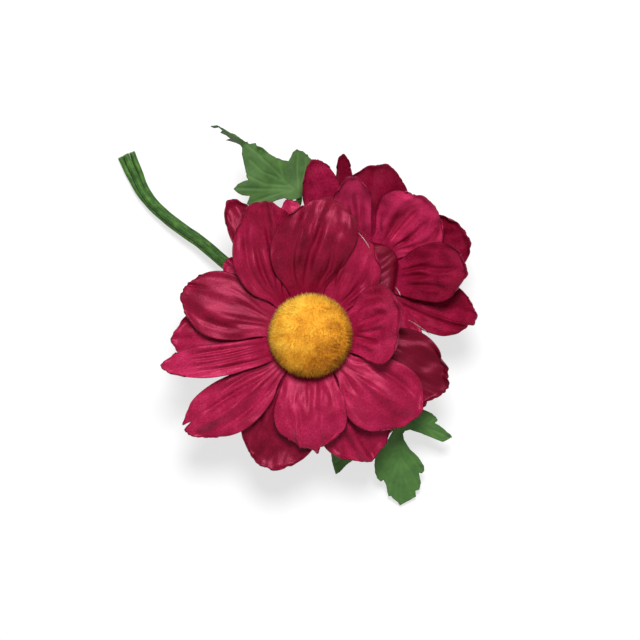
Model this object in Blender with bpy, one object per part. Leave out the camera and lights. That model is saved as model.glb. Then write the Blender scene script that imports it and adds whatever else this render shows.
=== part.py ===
"""Hair clip dressed with two fabric daisies, two lobed leaves and a bunch of wire stems.

Everything is in metres, +Z up. The origin is the middle of the clip prong's flat underside, the
face that lies on the hair or on a table. +X runs along the clip to its nose, and +Z points out
of the front daisy. A daisy is two die-cut petal rings, a sepal star and a flocked ball, all
threaded on the peg of a moulded calyx that its stem is pushed into.
"""

import math
from collections import namedtuple

import bmesh
import bpy
from mathutils import Matrix, Vector

MM = 0.001

# ---------------------------------------------------------------- driving dimensions
SEAT_GAP = 0.3 * MM          # clearance left between pieces that touch

# Fabric
PETAL_CLOTH = 0.5 * MM
SEPAL_CLOTH = 0.4 * MM
LEAF_CLOTH = 0.5 * MM

# Daisy
DISC_RADIUS = 10.5 * MM      # where the petals leave their ring
PEG_RADIUS = 1.3 * MM
PEG_REACH = 6.0 * MM         # how far the peg stands above the lower ring's underside
RING_SPACING = PETAL_CLOTH + SEAT_GAP
CALYX_RADIUS = 5.5 * MM
CALYX_FLANGE = 0.8 * MM
CALYX_DEPTH = 4.4 * MM
SOCKET_DEPTH = 2.4 * MM
SOCKET_WALL = 0.8 * MM
SEPAL_DISC_RADIUS = 6.0 * MM

# Petal outline, as shares of a petal's own length and width
WIDEST_AT = 0.62             # where along its length a petal is widest
TIP_SPAN = 1.12              # how far out the ellipse that rounds its tip would close
TIP_ROUND = 0.14             # how far the corners of the tip fall back
BASE_BLEND = 0.34            # the share of the length over which a petal leaves the disc
CUT_SHARE = 0.03             # how much narrower than its sector a petal starts, for the cut beside it
FREE_FROM = 0.04             # where a petal starts to spread over its neighbours
FREE_SPAN = 0.26             # and the share of the length that this takes
FOLD_SPAN = 0.34             # the share of the length over which a folded petal turns over
ROLL_FROM = 0.20             # where a rolled leaf lobe starts to turn on edge
ROLL_SPAN = 0.35
CURL_POWER = 6               # how late along its length a tip curls

# Leaf teeth
LEAF_TOOTH = 0.22            # how deep the teeth cut in, as a share of a lobe's half width
LEAF_TEETH = 3.5             # along each side of a lobe

# Stems
STEM_RADIUS = 0.85 * MM

# Clip. Its nose points to -X, and its two tails to +X.
CLIP_SHEET = 0.7 * MM
PLATE_HALF_WIDTH = 4.5 * MM
PRONG_HALF_WIDTH = 3.5 * MM
EAR_SHEET = 0.6 * MM
PLATE_UNDERSIDE = 6.3 * MM
PIN_X = 14.0 * MM
PIN_Z = 3.9 * MM
PIN_RADIUS = 0.8 * MM
PIN_HEAD_RADIUS = 1.5 * MM
PIN_HEAD_THICKNESS = 0.5 * MM
EAR_RADIUS = 2.1 * MM
TAIL_ANGLE = 23.0
TAIL_LENGTH = 15.0 * MM
TAIL_BEND_X = 11.0 * MM
NOSE_X = -27.0 * MM
NOSE_BEND_X = -20.0 * MM
PRONG_TAIL_X = 27.0 * MM
TOOTH_PITCH = 2.5 * MM
TOOTH_HEIGHT = 1.0 * MM
TOOTH_COUNT = 6
TOOTH_START_X = -4.0 * MM
RAIL_HEIGHT = 1.4 * MM

# Spring
WIRE_RADIUS = 0.35 * MM
COIL_RADIUS = PIN_RADIUS + SEAT_GAP + WIRE_RADIUS
SPRING_PITCH = 1.15 * MM
CURL_POINTS = 10
UPPER_LEG_ANGLE = 31.0
LOWER_LEG_ANGLE = -6.5
LEG_LENGTH = 9.5 * MM

# Felt pad and glue
FELT_THICKNESS = 1.5 * MM
FELT_LENGTH = 32.0 * MM
FELT_WIDTH = 24.0 * MM
FELT_CENTRE_X = -6.0 * MM
FELT_CORNER = 8.0 * MM
GLUE_RADIUS = 9.0 * MM
GLUE_CENTRE_X = -4.5 * MM
GLUE_CENTRE_Y = 0.0
GLUE_HEIGHT = 2.8 * MM

Petal = namedtuple("Petal", "angle length width lift bend cup sweep cut curl slant fold roll")
Flower = namedtuple("Flower", "name place lean lean_towards ball_radius ball_height ball_foot")
Leaf = namedtuple("Leaf", "name place tip tip_towards spread palm_radius rib_share lobes")


def petal(angle, length, width, lift, bend, cup=0, sweep=0, cut=None, curl=0, slant=0, fold=0, roll=0):
    """A petal or lobe as the hand that shaped it left it, in degrees and millimetres.

    It leaves the disc at its angle and turns by sweep along its length. It climbs at its lift,
    which changes by bend along it and by curl at the tip. cut is the angle of the cut after it,
    which is halfway to the next petal if not given, and slant makes that side longer.
    """
    return Petal(angle, length * MM, width * MM, lift, bend, cup, sweep, cut, curl, slant, fold, roll)


FRONT = Flower("front", Vector((-7.3, -10.6, 32.0)) * MM, 0.0, 0.0, 12.8 * MM, 11.5 * MM, 7.0 * MM)
BACK = Flower("back", Vector((7.2, 7.0, 18.2)) * MM, 6.0, 45.0, 7.6 * MM, 5.6 * MM, 5.5 * MM)

FRONT_UPPER = [
    petal(7, 21.5, 23.5, 27, 22, 22, 4, cut=34, curl=-50, slant=0.02),
    petal(53, 24.0, 18.0, 14, -6, -8, 8, cut=73, slant=0.07),
    petal(95, 31.5, 25.0, 33, -40, -12, -11, cut=118, curl=-30, slant=-0.03),
    petal(129, 33.0, 20.5, 21, -26, -12, -17, cut=141, curl=20),
    petal(162, 30.0, 20.0, 8, -14, -14, -1, cut=182, curl=-20),
    petal(198, 35.5, 10.0, 24, -36, -18, -6, cut=214, curl=-10),
    petal(226, 36.5, 17.0, 8, -20, -18, -8, cut=236, curl=-10),
    petal(270, 24.5, 22.5, 26, -46, -20, 0, cut=302, curl=-30),
    petal(318, 30.0, 23.5, 12, -28, -18, 3, cut=335, curl=-10, slant=0.05),
]
FRONT_LOWER = [
    petal(32, 12.0, 11.0, 2, 6),
    petal(78, 23.0, 17.0, 2, 2),
    petal(99, 27.0, 10.5, -11, 0, 6),
    petal(119, 36.5, 12.5, 2, -10, 8, 2, cut=130),
    petal(139, 24.0, 10.5, -9, -7, 8, cut=156),
    petal(181, 31.5, 19.0, -3, -12, 8, 1),
    petal(215, 11.0, 9.0, -3, -8),
    petal(252, 31.5, 22.5, -5, -4, 12, curl=30),
    petal(297, 31.5, 23.0, -11, -2, 12),
    petal(341, 33.5, 24.5, -4, -6, 14, -2),
]
BACK_UPPER = [
    petal(46, 24.0, 23.0, 31, 16, 12),
    petal(98, 26.0, 12.0, 38, 18, 22),
    petal(119, 31.0, 12.0, 26, 10, 10, -4),
    petal(172, 15.0, 12.0, 14, -24, 8),
    petal(212, 28.5, 20.0, 62, 18, 6, fold=108),
    petal(264, 15.0, 12.0, 14, -24, 8),
    petal(306, 20.0, 11.0, 27, -14, 10),
    petal(1, 28.0, 18.0, 38, 10, 16),
]
BACK_LOWER = [
    petal(19, 27.5, 20.0, 22, 20, 12),
    petal(80, 27.0, 20.0, 24, 20, 12),
    petal(100, 32.0, 7.5, 14, 38, 10),
    petal(152, 16.0, 13.0, 6, -12, 6),
    petal(197, 12.0, 12.0, 4, -10, 6),
    petal(240, 12.0, 12.0, 4, -10, 6),
    petal(285, 16.0, 14.0, 2, -10, 6),
    petal(337, 29.5, 16.0, 15, 24, 18),
]
SEPALS = [petal(a, 13.0, 5.0, -6, -10, 6) for a in range(22, 382, 60)]

LEFT_LEAF = Leaf("left_leaf", Vector((-10.8, 31.6, 24.0)) * MM, 4.0, 140.0, (66, 208), 9.0 * MM, 0.3, [
    petal(84, 5.3, 8.5, 6, 0, 10, cut=108),
    petal(141, 25.0, 13.0, 9, -24, 10, cut=164, roll=78),
    petal(173, 11.0, 5.6, -9, 0, 4, cut=182),
    petal(194, 5.9, 5.4, 10, -12, -6),
])
RIGHT_LEAF = Leaf("right_leaf", Vector((19.2, -33.0, 17.6)) * MM, -22.5, 280.0, (215, 350), 3.5 * MM, 0.4, [
    petal(228, 27.0, 8.0, 2, -12, -10),
    petal(272, 31.5, 16.5, -2, -12, -10),
    petal(329, 15.0, 8.0, 10, -12, -10),
])

PETAL_ROWS = 8
PETAL_COLUMNS = 6
SEPAL_ROWS = 4
SEPAL_COLUMNS = 2
LOBE_ROWS = 14
LOBE_COLUMNS = 4

# Middle of the bunch of stems beyond the felt, to its cut ends
BUNCH = [Vector(p) * MM for p in (
    (-24.6, 4.8, 10.4), (-33.5, 11.5, 8.6), (-40.9, 17.7, 6.8), (-48.4, 23.0, 5.2), (-54.6, 28.2, 3.8),
    (-58.8, 33.3, 2.7), (-61.6, 39.0, 1.8), (-64.2, 44.9, 1.2))]
BUNCH_SIDE = STEM_RADIUS + SEAT_GAP / 2
BUNCH_TOP = 1.74 * (STEM_RADIUS + SEAT_GAP / 2)

# ---------------------------------------------------------------- helpers


def new_object(name, mesh, material, matrix=None):
    made = bpy.data.objects.new(name, mesh)
    bpy.context.scene.collection.objects.link(made)
    if material is not None:
        mesh.materials.append(material)
    if matrix is not None:
        made.matrix_world = matrix
    return made


def mesh_from(bm, name):
    bmesh.ops.recalc_face_normals(bm, faces=bm.faces)
    mesh = bpy.data.meshes.new(name)
    bm.to_mesh(mesh)
    bm.free()
    return mesh


def material(name, colour, roughness, metallic=0.0):
    made = bpy.data.materials.new(name)
    made.use_nodes = True
    shader = made.node_tree.nodes["Principled BSDF"]
    shader.inputs["Base Color"].default_value = (*colour, 1.0)
    shader.inputs["Roughness"].default_value = roughness
    shader.inputs["Metallic"].default_value = metallic
    made.diffuse_color = (*colour, 1.0)
    return made


def smooth(obj, angle=40.0):
    obj.data.shade_smooth()
    obj.data.set_sharp_from_angle(angle=math.radians(angle))


def revolve(profile, segments):
    """A closed body turned round Z. The profile runs from the axis at its foot to the axis at its top."""
    bm = bmesh.new()
    rings = []
    for radius, z in profile:
        if radius == 0:
            rings.append([bm.verts.new((0, 0, z))] * segments)
            continue
        turn = [2 * math.pi * k / segments for k in range(segments)]
        rings.append([bm.verts.new((radius * math.cos(a), radius * math.sin(a), z)) for a in turn])
    for low, high in zip(rings, rings[1:]):
        for k in range(segments):
            corners = [low[k], low[(k + 1) % segments], high[(k + 1) % segments], high[k]]
            unique = list(dict.fromkeys(corners))
            if len(unique) > 2:
                bm.faces.new(unique)
    return bm


def smoothstep(x):
    x = min(1.0, max(0.0, x))
    return x * x * (3 - 2 * x)


def extruded(outline, start_y, end_y):
    """A closed prism: an outline in X and Z, given anticlockwise as seen from -Y, run along Y."""
    bm = bmesh.new()
    near = [bm.verts.new((x, start_y, z)) for x, z in outline]
    far = [bm.verts.new((x, end_y, z)) for x, z in outline]
    bm.faces.new(near)
    bm.faces.new(list(reversed(far)))
    for k in range(len(outline)):
        after = (k + 1) % len(outline)
        bm.faces.new((near[k], far[k], far[after], near[after]))
    return bm


def curve_through(points, per_span):
    """A smooth run of points through the given ones."""
    ends = [2 * points[0] - points[1]] + list(points) + [2 * points[-1] - points[-2]]
    found = []
    for a, b, c, d in zip(ends, ends[1:], ends[2:], ends[3:]):
        for k in range(per_span):
            t = k / per_span
            found.append(0.5 * ((2 * b) + (c - a) * t + (2 * a - 5 * b + 4 * c - d) * t ** 2
                                + (3 * b - a - 3 * c + d) * t ** 3))
    return found + [points[-1].copy()]


def tube(points, radius, sides):
    """A closed round rod along the points, its section carried along without twist."""
    bm = bmesh.new()
    along = (points[1] - points[0]).normalized()
    side = along.orthogonal().normalized()
    rings = []
    for k, point in enumerate(points):
        ahead = points[min(k + 1, len(points) - 1)] - points[max(k - 1, 0)]
        ahead.normalize()
        side = (side - ahead * side.dot(ahead)).normalized()
        other = ahead.cross(side)
        turns = [2 * math.pi * j / sides for j in range(sides)]
        rings.append([bm.verts.new(point + radius * (math.cos(a) * side + math.sin(a) * other))
                      for a in turns])
    for low, high in zip(rings, rings[1:]):
        for j in range(sides):
            after = (j + 1) % sides
            bm.faces.new((low[j], low[after], high[after], high[j]))
    bm.faces.new(list(reversed(rings[0])))
    bm.faces.new(rings[-1])
    return bm


def combine(target, tool, operation):
    """Apply an exact Boolean with a hidden tool, and remove the tool."""
    step = target.modifiers.new("join", "BOOLEAN")
    step.operation = operation
    step.solver = "EXACT"
    step.object = tool
    bpy.context.view_layer.update()
    result = bpy.data.meshes.new_from_object(target.evaluated_get(bpy.context.evaluated_depsgraph_get()))
    target.modifiers.remove(step)
    target.data = result
    bpy.data.objects.remove(tool, do_unlink=True)


# ---------------------------------------------------------------- petals


def slope_at(petal, at):
    """How steeply a petal climbs at a share of its length, in radians."""
    return math.radians(petal.lift + petal.bend * at + petal.fold * smoothstep(at / FOLD_SPAN)
                        + petal.curl * at ** CURL_POWER)


def midline(petal, t, start_radius, start_z):
    """Radius, height and slope at the share t of a petal's length."""
    steps = 24
    radius, z = start_radius, start_z
    for k in range(steps):
        slope = slope_at(petal, t * (k + 0.5) / steps)
        radius += petal.length * t / steps * math.cos(slope)
        z += petal.length * t / steps * math.sin(slope)
    return radius, z, slope_at(petal, t)


def half_width(petal, u, base, toothed):
    """Half width of a petal or lobe at the share u of its length, from its base out to its round tip."""
    widest = petal.width / 2
    if u < WIDEST_AT:
        x = u / WIDEST_AT
        half = base + (widest - base) * x * (1.5 - 0.5 * x * x)
    else:
        half = widest * math.sqrt(1 - ((u - WIDEST_AT) / (TIP_SPAN - WIDEST_AT)) ** 2)
    if toothed:
        half *= 1 - LEAF_TOOTH * (1 - abs(math.sin(math.pi * LEAF_TEETH * u)))
    return half


def petal_point(petal, u, v, sector, start_radius, start_z, toothed=False):
    """A point of a petal's upper face. u runs from the disc to the tip, and v from edge to edge.

    Near the disc a petal keeps inside its own sector, so it clears its neighbours before it widens.
    """
    t = u * (1 - TIP_ROUND * v * v * u * u + petal.slant * v * u * u)
    radius, z, slope = midline(petal, t, start_radius, start_z)
    reach = sector[0] if v < 0 else sector[1]
    opening = min(reach, math.radians(80))
    base = min(start_radius * math.sin(opening), petal.width / 2)
    half = half_width(petal, u, base, toothed)
    limit = radius * math.sin(opening * (1 - CUT_SHARE))
    if half > limit:
        half = limit + (half - limit) * smoothstep((u - FREE_FROM) / FREE_SPAN)
    cup = math.radians(petal.cup) * u
    across, up = half * v, 0.0
    if abs(cup) > 1e-4:
        across, up = half * math.sin(cup * v) / cup, half * (1 - math.cos(cup * v)) / cup
    roll = math.radians(petal.roll) * smoothstep((u - ROLL_FROM) / ROLL_SPAN)
    across, up = (across * math.cos(roll) - up * math.sin(roll),
                  across * math.sin(roll) + up * math.cos(roll))
    local = Vector((radius - up * math.sin(slope), across, z + up * math.cos(slope)))
    heading = math.radians(petal.angle + petal.sweep * u)
    formed = Matrix.Rotation(heading, 3, "Z") @ local
    leave = smoothstep(u / BASE_BLEND)
    turn = math.radians(petal.angle) + v * reach * (1 - 2 * CUT_SHARE * leave)
    on_disc = Vector((radius * math.cos(turn), radius * math.sin(turn), z))
    return on_disc.lerp(formed, leave)


def sectors(ring, spread):
    """The half angles of disc that each petal has on either side, out to the cut beside it."""
    cuts = []
    for k, each in enumerate(ring):
        gap = (ring[(k + 1) % len(ring)].angle - each.angle) % 360
        cuts.append(each.angle + gap / 2 if each.cut is None else each.cut)
    found = []
    for k, each in enumerate(ring):
        before, after = (each.angle - cuts[k - 1]) % 360, (cuts[k] - each.angle) % 360
        if spread and k == 0:
            before = each.angle - spread[0]
        if spread and k == len(ring) - 1:
            after = spread[1] - each.angle
        found.append((math.radians(before), math.radians(after)))
    return found


def cloth_shape(name, ring, cloth, base_z, disc_radius, rows, columns, finish, matrix, spread=None):
    """One die-cut shape: a disc whose rim runs out into petals or lobes, thickened as one cloth.

    A ring of petals goes all round a holed disc. A leaf's lobes leave a fan that spans the angles
    of its spread.
    """
    top_z = base_z + cloth
    hole = 0.0 if spread else PEG_RADIUS + SEAT_GAP
    reach = sectors(ring, spread)
    bm = bmesh.new()
    inner, outer, feet = [], [], []
    middle = bm.verts.new((0, 0, top_z)) if spread else None
    for k, (each, sector) in enumerate(zip(ring, reach)):
        last = spread and k == len(ring) - 1
        foot = []
        for j in range(columns + 1 if last else columns):
            v = -1 + 2 * j / columns
            turn = math.radians(each.angle) + v * (sector[0] if v < 0 else sector[1])
            direction = Vector((math.cos(turn), math.sin(turn), 0))
            inner.append(middle or bm.verts.new(direction * hole + Vector((0, 0, top_z))))
            outer.append(bm.verts.new(direction * disc_radius + Vector((0, 0, top_z))))
            foot.append(outer[-1])
        feet.append(foot)
    for k in range(len(outer) - 1 if spread else len(outer)):
        after = (k + 1) % len(outer)
        corners = (inner[k], outer[k], outer[after], inner[after])
        bm.faces.new(list(dict.fromkeys(corners)))
    for k, (each, sector) in enumerate(zip(ring, reach)):
        row = feet[k]
        if len(row) == columns:
            row = row + [feet[(k + 1) % len(ring)][0]]
        for i in range(1, rows + 1):
            above = []
            for j in range(columns + 1):
                point = petal_point(each, i / rows, -1 + 2 * j / columns, sector, disc_radius,
                                    top_z, bool(spread))
                above.append(bm.verts.new(point))
            for j in range(columns):
                bm.faces.new((row[j], above[j], above[j + 1], row[j + 1]))
            row = above
    mesh = bpy.data.meshes.new(name)
    bm.to_mesh(mesh)
    bm.free()
    made = new_object(name, mesh, finish, matrix)
    thicken = made.modifiers.new("cloth", "SOLIDIFY")
    thicken.thickness = cloth
    thicken.offset = -1
    smooth(made)
    return made


def leaning(place, lean, lean_towards):
    """The matrix of a piece that stands at its place and leans over towards an azimuth."""
    towards = math.radians(lean_towards)
    axis = Vector((-math.sin(towards), math.cos(towards), 0))
    return Matrix.Translation(place) @ Matrix.Rotation(math.radians(lean), 4, axis)


def daisy_matrix(flower):
    """A daisy's place is on its own axis, at the underside of its lower ring."""
    return leaning(flower.place, flower.lean, flower.lean_towards)


def ball(flower, finish):
    """The flocked centre: a domed ball with a flat foot and a blind hole for the peg."""
    foot_z = RING_SPACING + PETAL_CLOTH + SEAT_GAP
    hole = PEG_RADIUS + SEAT_GAP
    middle_z = foot_z + 0.42 * flower.ball_height
    profile = [(0, PEG_REACH + SEAT_GAP), (hole, PEG_REACH + SEAT_GAP), (hole, foot_z)]
    profile.append((flower.ball_foot, foot_z))
    foot_angle = math.acos(flower.ball_foot / flower.ball_radius)
    for k in range(1, 4):
        a = -foot_angle * (1 - k / 3)
        share = math.sin(a) / math.sin(foot_angle)
        profile.append((flower.ball_radius * math.cos(a), middle_z + (middle_z - foot_z) * share))
    for k in range(1, 6):
        a = math.pi / 2 * k / 5
        z = middle_z + (foot_z + flower.ball_height - middle_z) * math.sin(a)
        profile.append((flower.ball_radius * math.cos(a) if k < 5 else 0, z))
    mesh = mesh_from(revolve(profile, 24), "ball")
    made = new_object(f"{flower.name}_centre", mesh, finish, daisy_matrix(flower))
    smooth(made)
    return made


def calyx(flower, finish):
    """Moulded calyx: a cup with a peg on top and a socket for the stem below."""
    top = -2 * SEAT_GAP - SEPAL_CLOTH
    foot = top - CALYX_DEPTH
    bore = STEM_RADIUS + SEAT_GAP
    neck = bore + SOCKET_WALL
    profile = [
        (0, foot + SOCKET_DEPTH), (bore, foot + SOCKET_DEPTH), (bore, foot), (neck, foot),
        (neck, foot + 0.45 * CALYX_DEPTH), (0.72 * CALYX_RADIUS, foot + 0.66 * CALYX_DEPTH),
        (CALYX_RADIUS, top - CALYX_FLANGE), (CALYX_RADIUS, top),
        (PEG_RADIUS, top), (PEG_RADIUS, PEG_REACH - 0.5 * MM), (0.7 * PEG_RADIUS, PEG_REACH),
        (0, PEG_REACH),
    ]
    mesh = mesh_from(revolve(profile, 16), "calyx")
    made = new_object(f"{flower.name}_calyx", mesh, finish, daisy_matrix(flower))
    smooth(made)
    return made


def daisy(flower, upper, lower, cloth_finish, sepal_finish, ball_finish, calyx_finish):
    matrix = daisy_matrix(flower)
    cloth_shape(f"{flower.name}_upper_petals", upper, PETAL_CLOTH, RING_SPACING, DISC_RADIUS,
                PETAL_ROWS, PETAL_COLUMNS, cloth_finish, matrix)
    cloth_shape(f"{flower.name}_lower_petals", lower, PETAL_CLOTH, 0.0, DISC_RADIUS,
                PETAL_ROWS, PETAL_COLUMNS, cloth_finish, matrix)
    cloth_shape(f"{flower.name}_sepals", SEPALS, SEPAL_CLOTH, -SEAT_GAP - SEPAL_CLOTH,
                SEPAL_DISC_RADIUS, SEPAL_ROWS, SEPAL_COLUMNS, sepal_finish, matrix)
    ball(flower, ball_finish)
    calyx(flower, calyx_finish)


# ---------------------------------------------------------------- leaves and stems


def leaf_matrix(leaf):
    return leaning(leaf.place, -leaf.tip, leaf.tip_towards)


def leaf(shape, finish):
    return cloth_shape(shape.name, shape.lobes, LEAF_CLOTH, 0.0, shape.palm_radius, LOBE_ROWS,
                       LOBE_COLUMNS, finish, leaf_matrix(shape), shape.spread)


def under_leaf(shape):
    """The run of the wire glued under a leaf, from partway along its middle lobe back to its palm."""
    lobe = max(shape.lobes, key=lambda each: each.length)
    sink = LEAF_CLOTH + SEAT_GAP + STEM_RADIUS
    heading = math.radians(lobe.angle)
    run = []
    for share in (shape.rib_share, shape.rib_share / 2, 0):
        radius, z, slope = midline(lobe, share, shape.palm_radius, LEAF_CLOTH)
        radius += sink * math.sin(slope)
        run.append(leaf_matrix(shape) @ Vector((radius * math.cos(heading),
                                                radius * math.sin(heading),
                                                z - sink * math.cos(slope))))
    return run + [leaf_matrix(shape) @ Vector((0, 0, LEAF_CLOTH - sink))]


def bunch_path(side, height):
    """A stem's run in the bunch, set off from its middle to one side and upwards."""
    found = []
    for k, point in enumerate(BUNCH):
        ahead = BUNCH[min(k + 1, len(BUNCH) - 1)] - BUNCH[max(k - 1, 0)]
        across = Vector((-ahead.y, ahead.x, 0)).normalized()
        found.append(point + across * side + Vector((0, 0, height)))
    return found


def stem(name, path, finish):
    rod = new_object(name, mesh_from(tube(curve_through(path, 4), STEM_RADIUS, 10), name), finish)
    smooth(rod)
    return rod


# ---------------------------------------------------------------- clip


def ear_outline(peak):
    """An ear as seen from the side: a round eye on the pin's axis that widens up or down to its plate."""
    eye = []
    sweep = [200, 225, 250, 270, 290, 315, 340] if peak[0][1] > PIN_Z else [20, 45, 70, 90, 110, 135, 160]
    for degrees in sweep:
        a = math.radians(degrees)
        eye.append((PIN_X + EAR_RADIUS * math.cos(a), PIN_Z + EAR_RADIUS * math.sin(a)))
    return eye + peak if peak[0][1] > PIN_Z else peak + eye


def drill(target, radius, half_length):
    """Bore a piece along the pin's axis."""
    bm = bmesh.new()
    bmesh.ops.create_cone(bm, cap_ends=True, segments=20, radius1=radius, radius2=radius,
                          depth=2 * half_length)
    turn = Matrix.Translation((PIN_X, 0, PIN_Z)) @ Matrix.Rotation(math.pi / 2, 4, "X")
    tool = new_object("drill", mesh_from(bm, "drill"), None, turn)
    combine(target, tool, "DIFFERENCE")


def upper_plate(finish):
    """The decorated jaw: a sheet bent down at the nose and up at the tail, with an ear at each side."""
    top = PLATE_UNDERSIDE + CLIP_SHEET
    rise = math.tan(math.radians(TAIL_ANGLE))
    tail_x = TAIL_BEND_X + TAIL_LENGTH * math.cos(math.radians(TAIL_ANGLE))
    tail_z = (tail_x - TAIL_BEND_X) * rise
    nose_z = CLIP_SHEET + SEAT_GAP
    outline = [
        (NOSE_X, nose_z), (NOSE_BEND_X, PLATE_UNDERSIDE), (TAIL_BEND_X, PLATE_UNDERSIDE),
        (tail_x, PLATE_UNDERSIDE + tail_z), (tail_x, top + tail_z), (TAIL_BEND_X, top),
        (NOSE_BEND_X, top), (NOSE_X - 0.4 * MM, nose_z + CLIP_SHEET), (NOSE_X - 0.6 * MM, nose_z),
    ]
    plate = new_object("upper_plate", mesh_from(extruded(outline, -PLATE_HALF_WIDTH, PLATE_HALF_WIDTH),
                                                "upper_plate"), finish)
    middle = PLATE_UNDERSIDE + CLIP_SHEET / 2
    peak = [(PIN_X + 4 * MM, middle + (PIN_X + 4 * MM - TAIL_BEND_X) * rise), (TAIL_BEND_X, middle),
            (PIN_X - 6 * MM, middle)]
    for side in (-1, 1):
        outside, inside = side * PLATE_HALF_WIDTH, side * (PLATE_HALF_WIDTH - EAR_SHEET)
        ear = extruded(ear_outline(peak), min(outside, inside), max(outside, inside))
        combine(plate, new_object("ear", mesh_from(ear, "ear"), None), "UNION")
    drill(plate, PIN_RADIUS + SEAT_GAP, 2 * PLATE_HALF_WIDTH)
    return plate


def prong(finish):
    """The toothed jaw: a flat sheet with a toothed rail along each side and ears that take the pin."""
    outline = [(NOSE_X, 0), (PRONG_TAIL_X, 0), (PRONG_TAIL_X, CLIP_SHEET), (NOSE_X, CLIP_SHEET)]
    sheet = extruded(outline, -PRONG_HALF_WIDTH, PRONG_HALF_WIDTH)
    jaw = new_object("toothed_prong", mesh_from(sheet, "toothed_prong"), finish)
    root = CLIP_SHEET / 2
    end_x = TOOTH_START_X - TOOTH_COUNT * TOOTH_PITCH
    rail = [(end_x, root), (PIN_X - 4 * MM, root), (PIN_X - 4 * MM, CLIP_SHEET + 0.3 * MM),
            (TOOTH_START_X + TOOTH_PITCH, CLIP_SHEET + RAIL_HEIGHT)]
    for k in range(TOOTH_COUNT):
        x = TOOTH_START_X - k * TOOTH_PITCH
        rail.append((x, CLIP_SHEET + RAIL_HEIGHT))
        rail.append((x - TOOTH_PITCH / 2, CLIP_SHEET + RAIL_HEIGHT + TOOTH_HEIGHT))
    rail.append((end_x, CLIP_SHEET + RAIL_HEIGHT))
    peak = [(PIN_X - 3.2 * MM, root), (PIN_X + 3.2 * MM, root)]
    for side in (-1, 1):
        outside, inside = side * PRONG_HALF_WIDTH, side * (PRONG_HALF_WIDTH - EAR_SHEET)
        for profile in (rail, ear_outline(peak)):
            bm = extruded(profile, min(outside, inside), max(outside, inside))
            combine(jaw, new_object("rail", mesh_from(bm, "rail"), None), "UNION")
    drill(jaw, PIN_RADIUS + SEAT_GAP, 2 * PRONG_HALF_WIDTH)
    jaw.data.transform(Matrix.Translation((-PIN_X, 0, -PIN_Z)))
    jaw.location = (PIN_X, 0, PIN_Z)
    return jaw


def pin(finish):
    head = PLATE_HALF_WIDTH + SEAT_GAP
    end = head + PIN_HEAD_THICKNESS
    profile = [(0, -end), (PIN_HEAD_RADIUS, -end), (PIN_HEAD_RADIUS, -head), (PIN_RADIUS, -head),
               (PIN_RADIUS, head), (PIN_HEAD_RADIUS, head), (PIN_HEAD_RADIUS, end), (0, end)]
    turn = Matrix.Translation((PIN_X, 0, PIN_Z)) @ Matrix.Rotation(math.pi / 2, 4, "X")
    made = new_object("hinge_pin", mesh_from(revolve(profile, 20), "pin"), finish, turn)
    smooth(made)
    return made


def spring(finish):
    """A torsion spring round the pin. Its two legs push the tails of the jaws apart."""
    legs = []
    for degrees in (UPPER_LEG_ANGLE, LOWER_LEG_ANGLE):
        a = math.radians(degrees)
        legs.append(Vector((math.cos(a), 0, math.sin(a))))
    start = math.radians(90 + UPPER_LEG_ANGLE)
    turn = math.radians(270 + LOWER_LEG_ANGLE) + 3 * 2 * math.pi - start
    turns = turn / (2 * math.pi)
    width = SPRING_PITCH * turns
    steps = round(turns * CURL_POINTS)
    coil = []
    for k in range(steps + 1):
        a = start + turn * k / steps
        coil.append(Vector((COIL_RADIUS * math.cos(a), -width / 2 + width * k / steps,
                            COIL_RADIUS * math.sin(a))))
    points = [coil[0] + legs[0] * LEG_LENGTH, coil[0] + legs[0] * LEG_LENGTH / 2] + coil
    points += [coil[-1] + legs[1] * LEG_LENGTH / 2, coil[-1] + legs[1] * LEG_LENGTH]
    centre = Vector((PIN_X, 0, PIN_Z))
    made = new_object("torsion_spring", mesh_from(tube([centre + p for p in points], WIRE_RADIUS, 6),
                                                  "spring"), finish)
    smooth(made, 80)
    print(f"least gap between curls: {(SPRING_PITCH - 2 * WIRE_RADIUS) / MM:.2f} mm")
    return made


def felt(finish):
    """A stadium-cornered pad that lies on the upper plate."""
    low = PLATE_UNDERSIDE + CLIP_SHEET + SEAT_GAP
    bm = bmesh.new()
    rim = []
    for corner in range(4):
        sx, sy = ((1, 1), (-1, 1), (-1, -1), (1, -1))[corner]
        middle = Vector((FELT_CENTRE_X + sx * (FELT_LENGTH / 2 - FELT_CORNER),
                         sy * (FELT_WIDTH / 2 - FELT_CORNER), low))
        for k in range(6):
            a = math.pi / 2 * (corner + k / 5)
            rim.append(bm.verts.new(middle + FELT_CORNER * Vector((math.cos(a), math.sin(a), 0))))
    face = bm.faces.new(rim)
    top = bmesh.ops.extrude_face_region(bm, geom=[face])
    bmesh.ops.translate(bm, vec=(0, 0, FELT_THICKNESS),
                        verts=[v for v in top["geom"] if isinstance(v, bmesh.types.BMVert)])
    pad = new_object("felt_pad", mesh_from(bm, "felt_pad"), finish)
    return pad


def glue(stems, finish):
    """A flat mound of hot glue on the felt, with the channels that the stems have pressed into it."""
    low = PLATE_UNDERSIDE + CLIP_SHEET + FELT_THICKNESS + 2 * SEAT_GAP
    profile = [(0, low), (GLUE_RADIUS, low), (0.93 * GLUE_RADIUS, low + 0.4 * GLUE_HEIGHT),
               (0.72 * GLUE_RADIUS, low + 0.8 * GLUE_HEIGHT), (0, low + GLUE_HEIGHT)]
    bm = revolve(profile, 20)
    bm.transform(Matrix.Translation((GLUE_CENTRE_X, GLUE_CENTRE_Y, 0)))
    mound = new_object("glue_mound", mesh_from(bm, "glue_mound"), finish)
    for path in stems:
        channel = tube(curve_through(path, 4), STEM_RADIUS + SEAT_GAP, 8)
        combine(mound, new_object("channel", mesh_from(channel, "channel"), None), "DIFFERENCE")
    smooth(mound, 50)
    return mound


# ---------------------------------------------------------------- the model

for old in list(bpy.data.objects):
    bpy.data.objects.remove(old, do_unlink=True)

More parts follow.
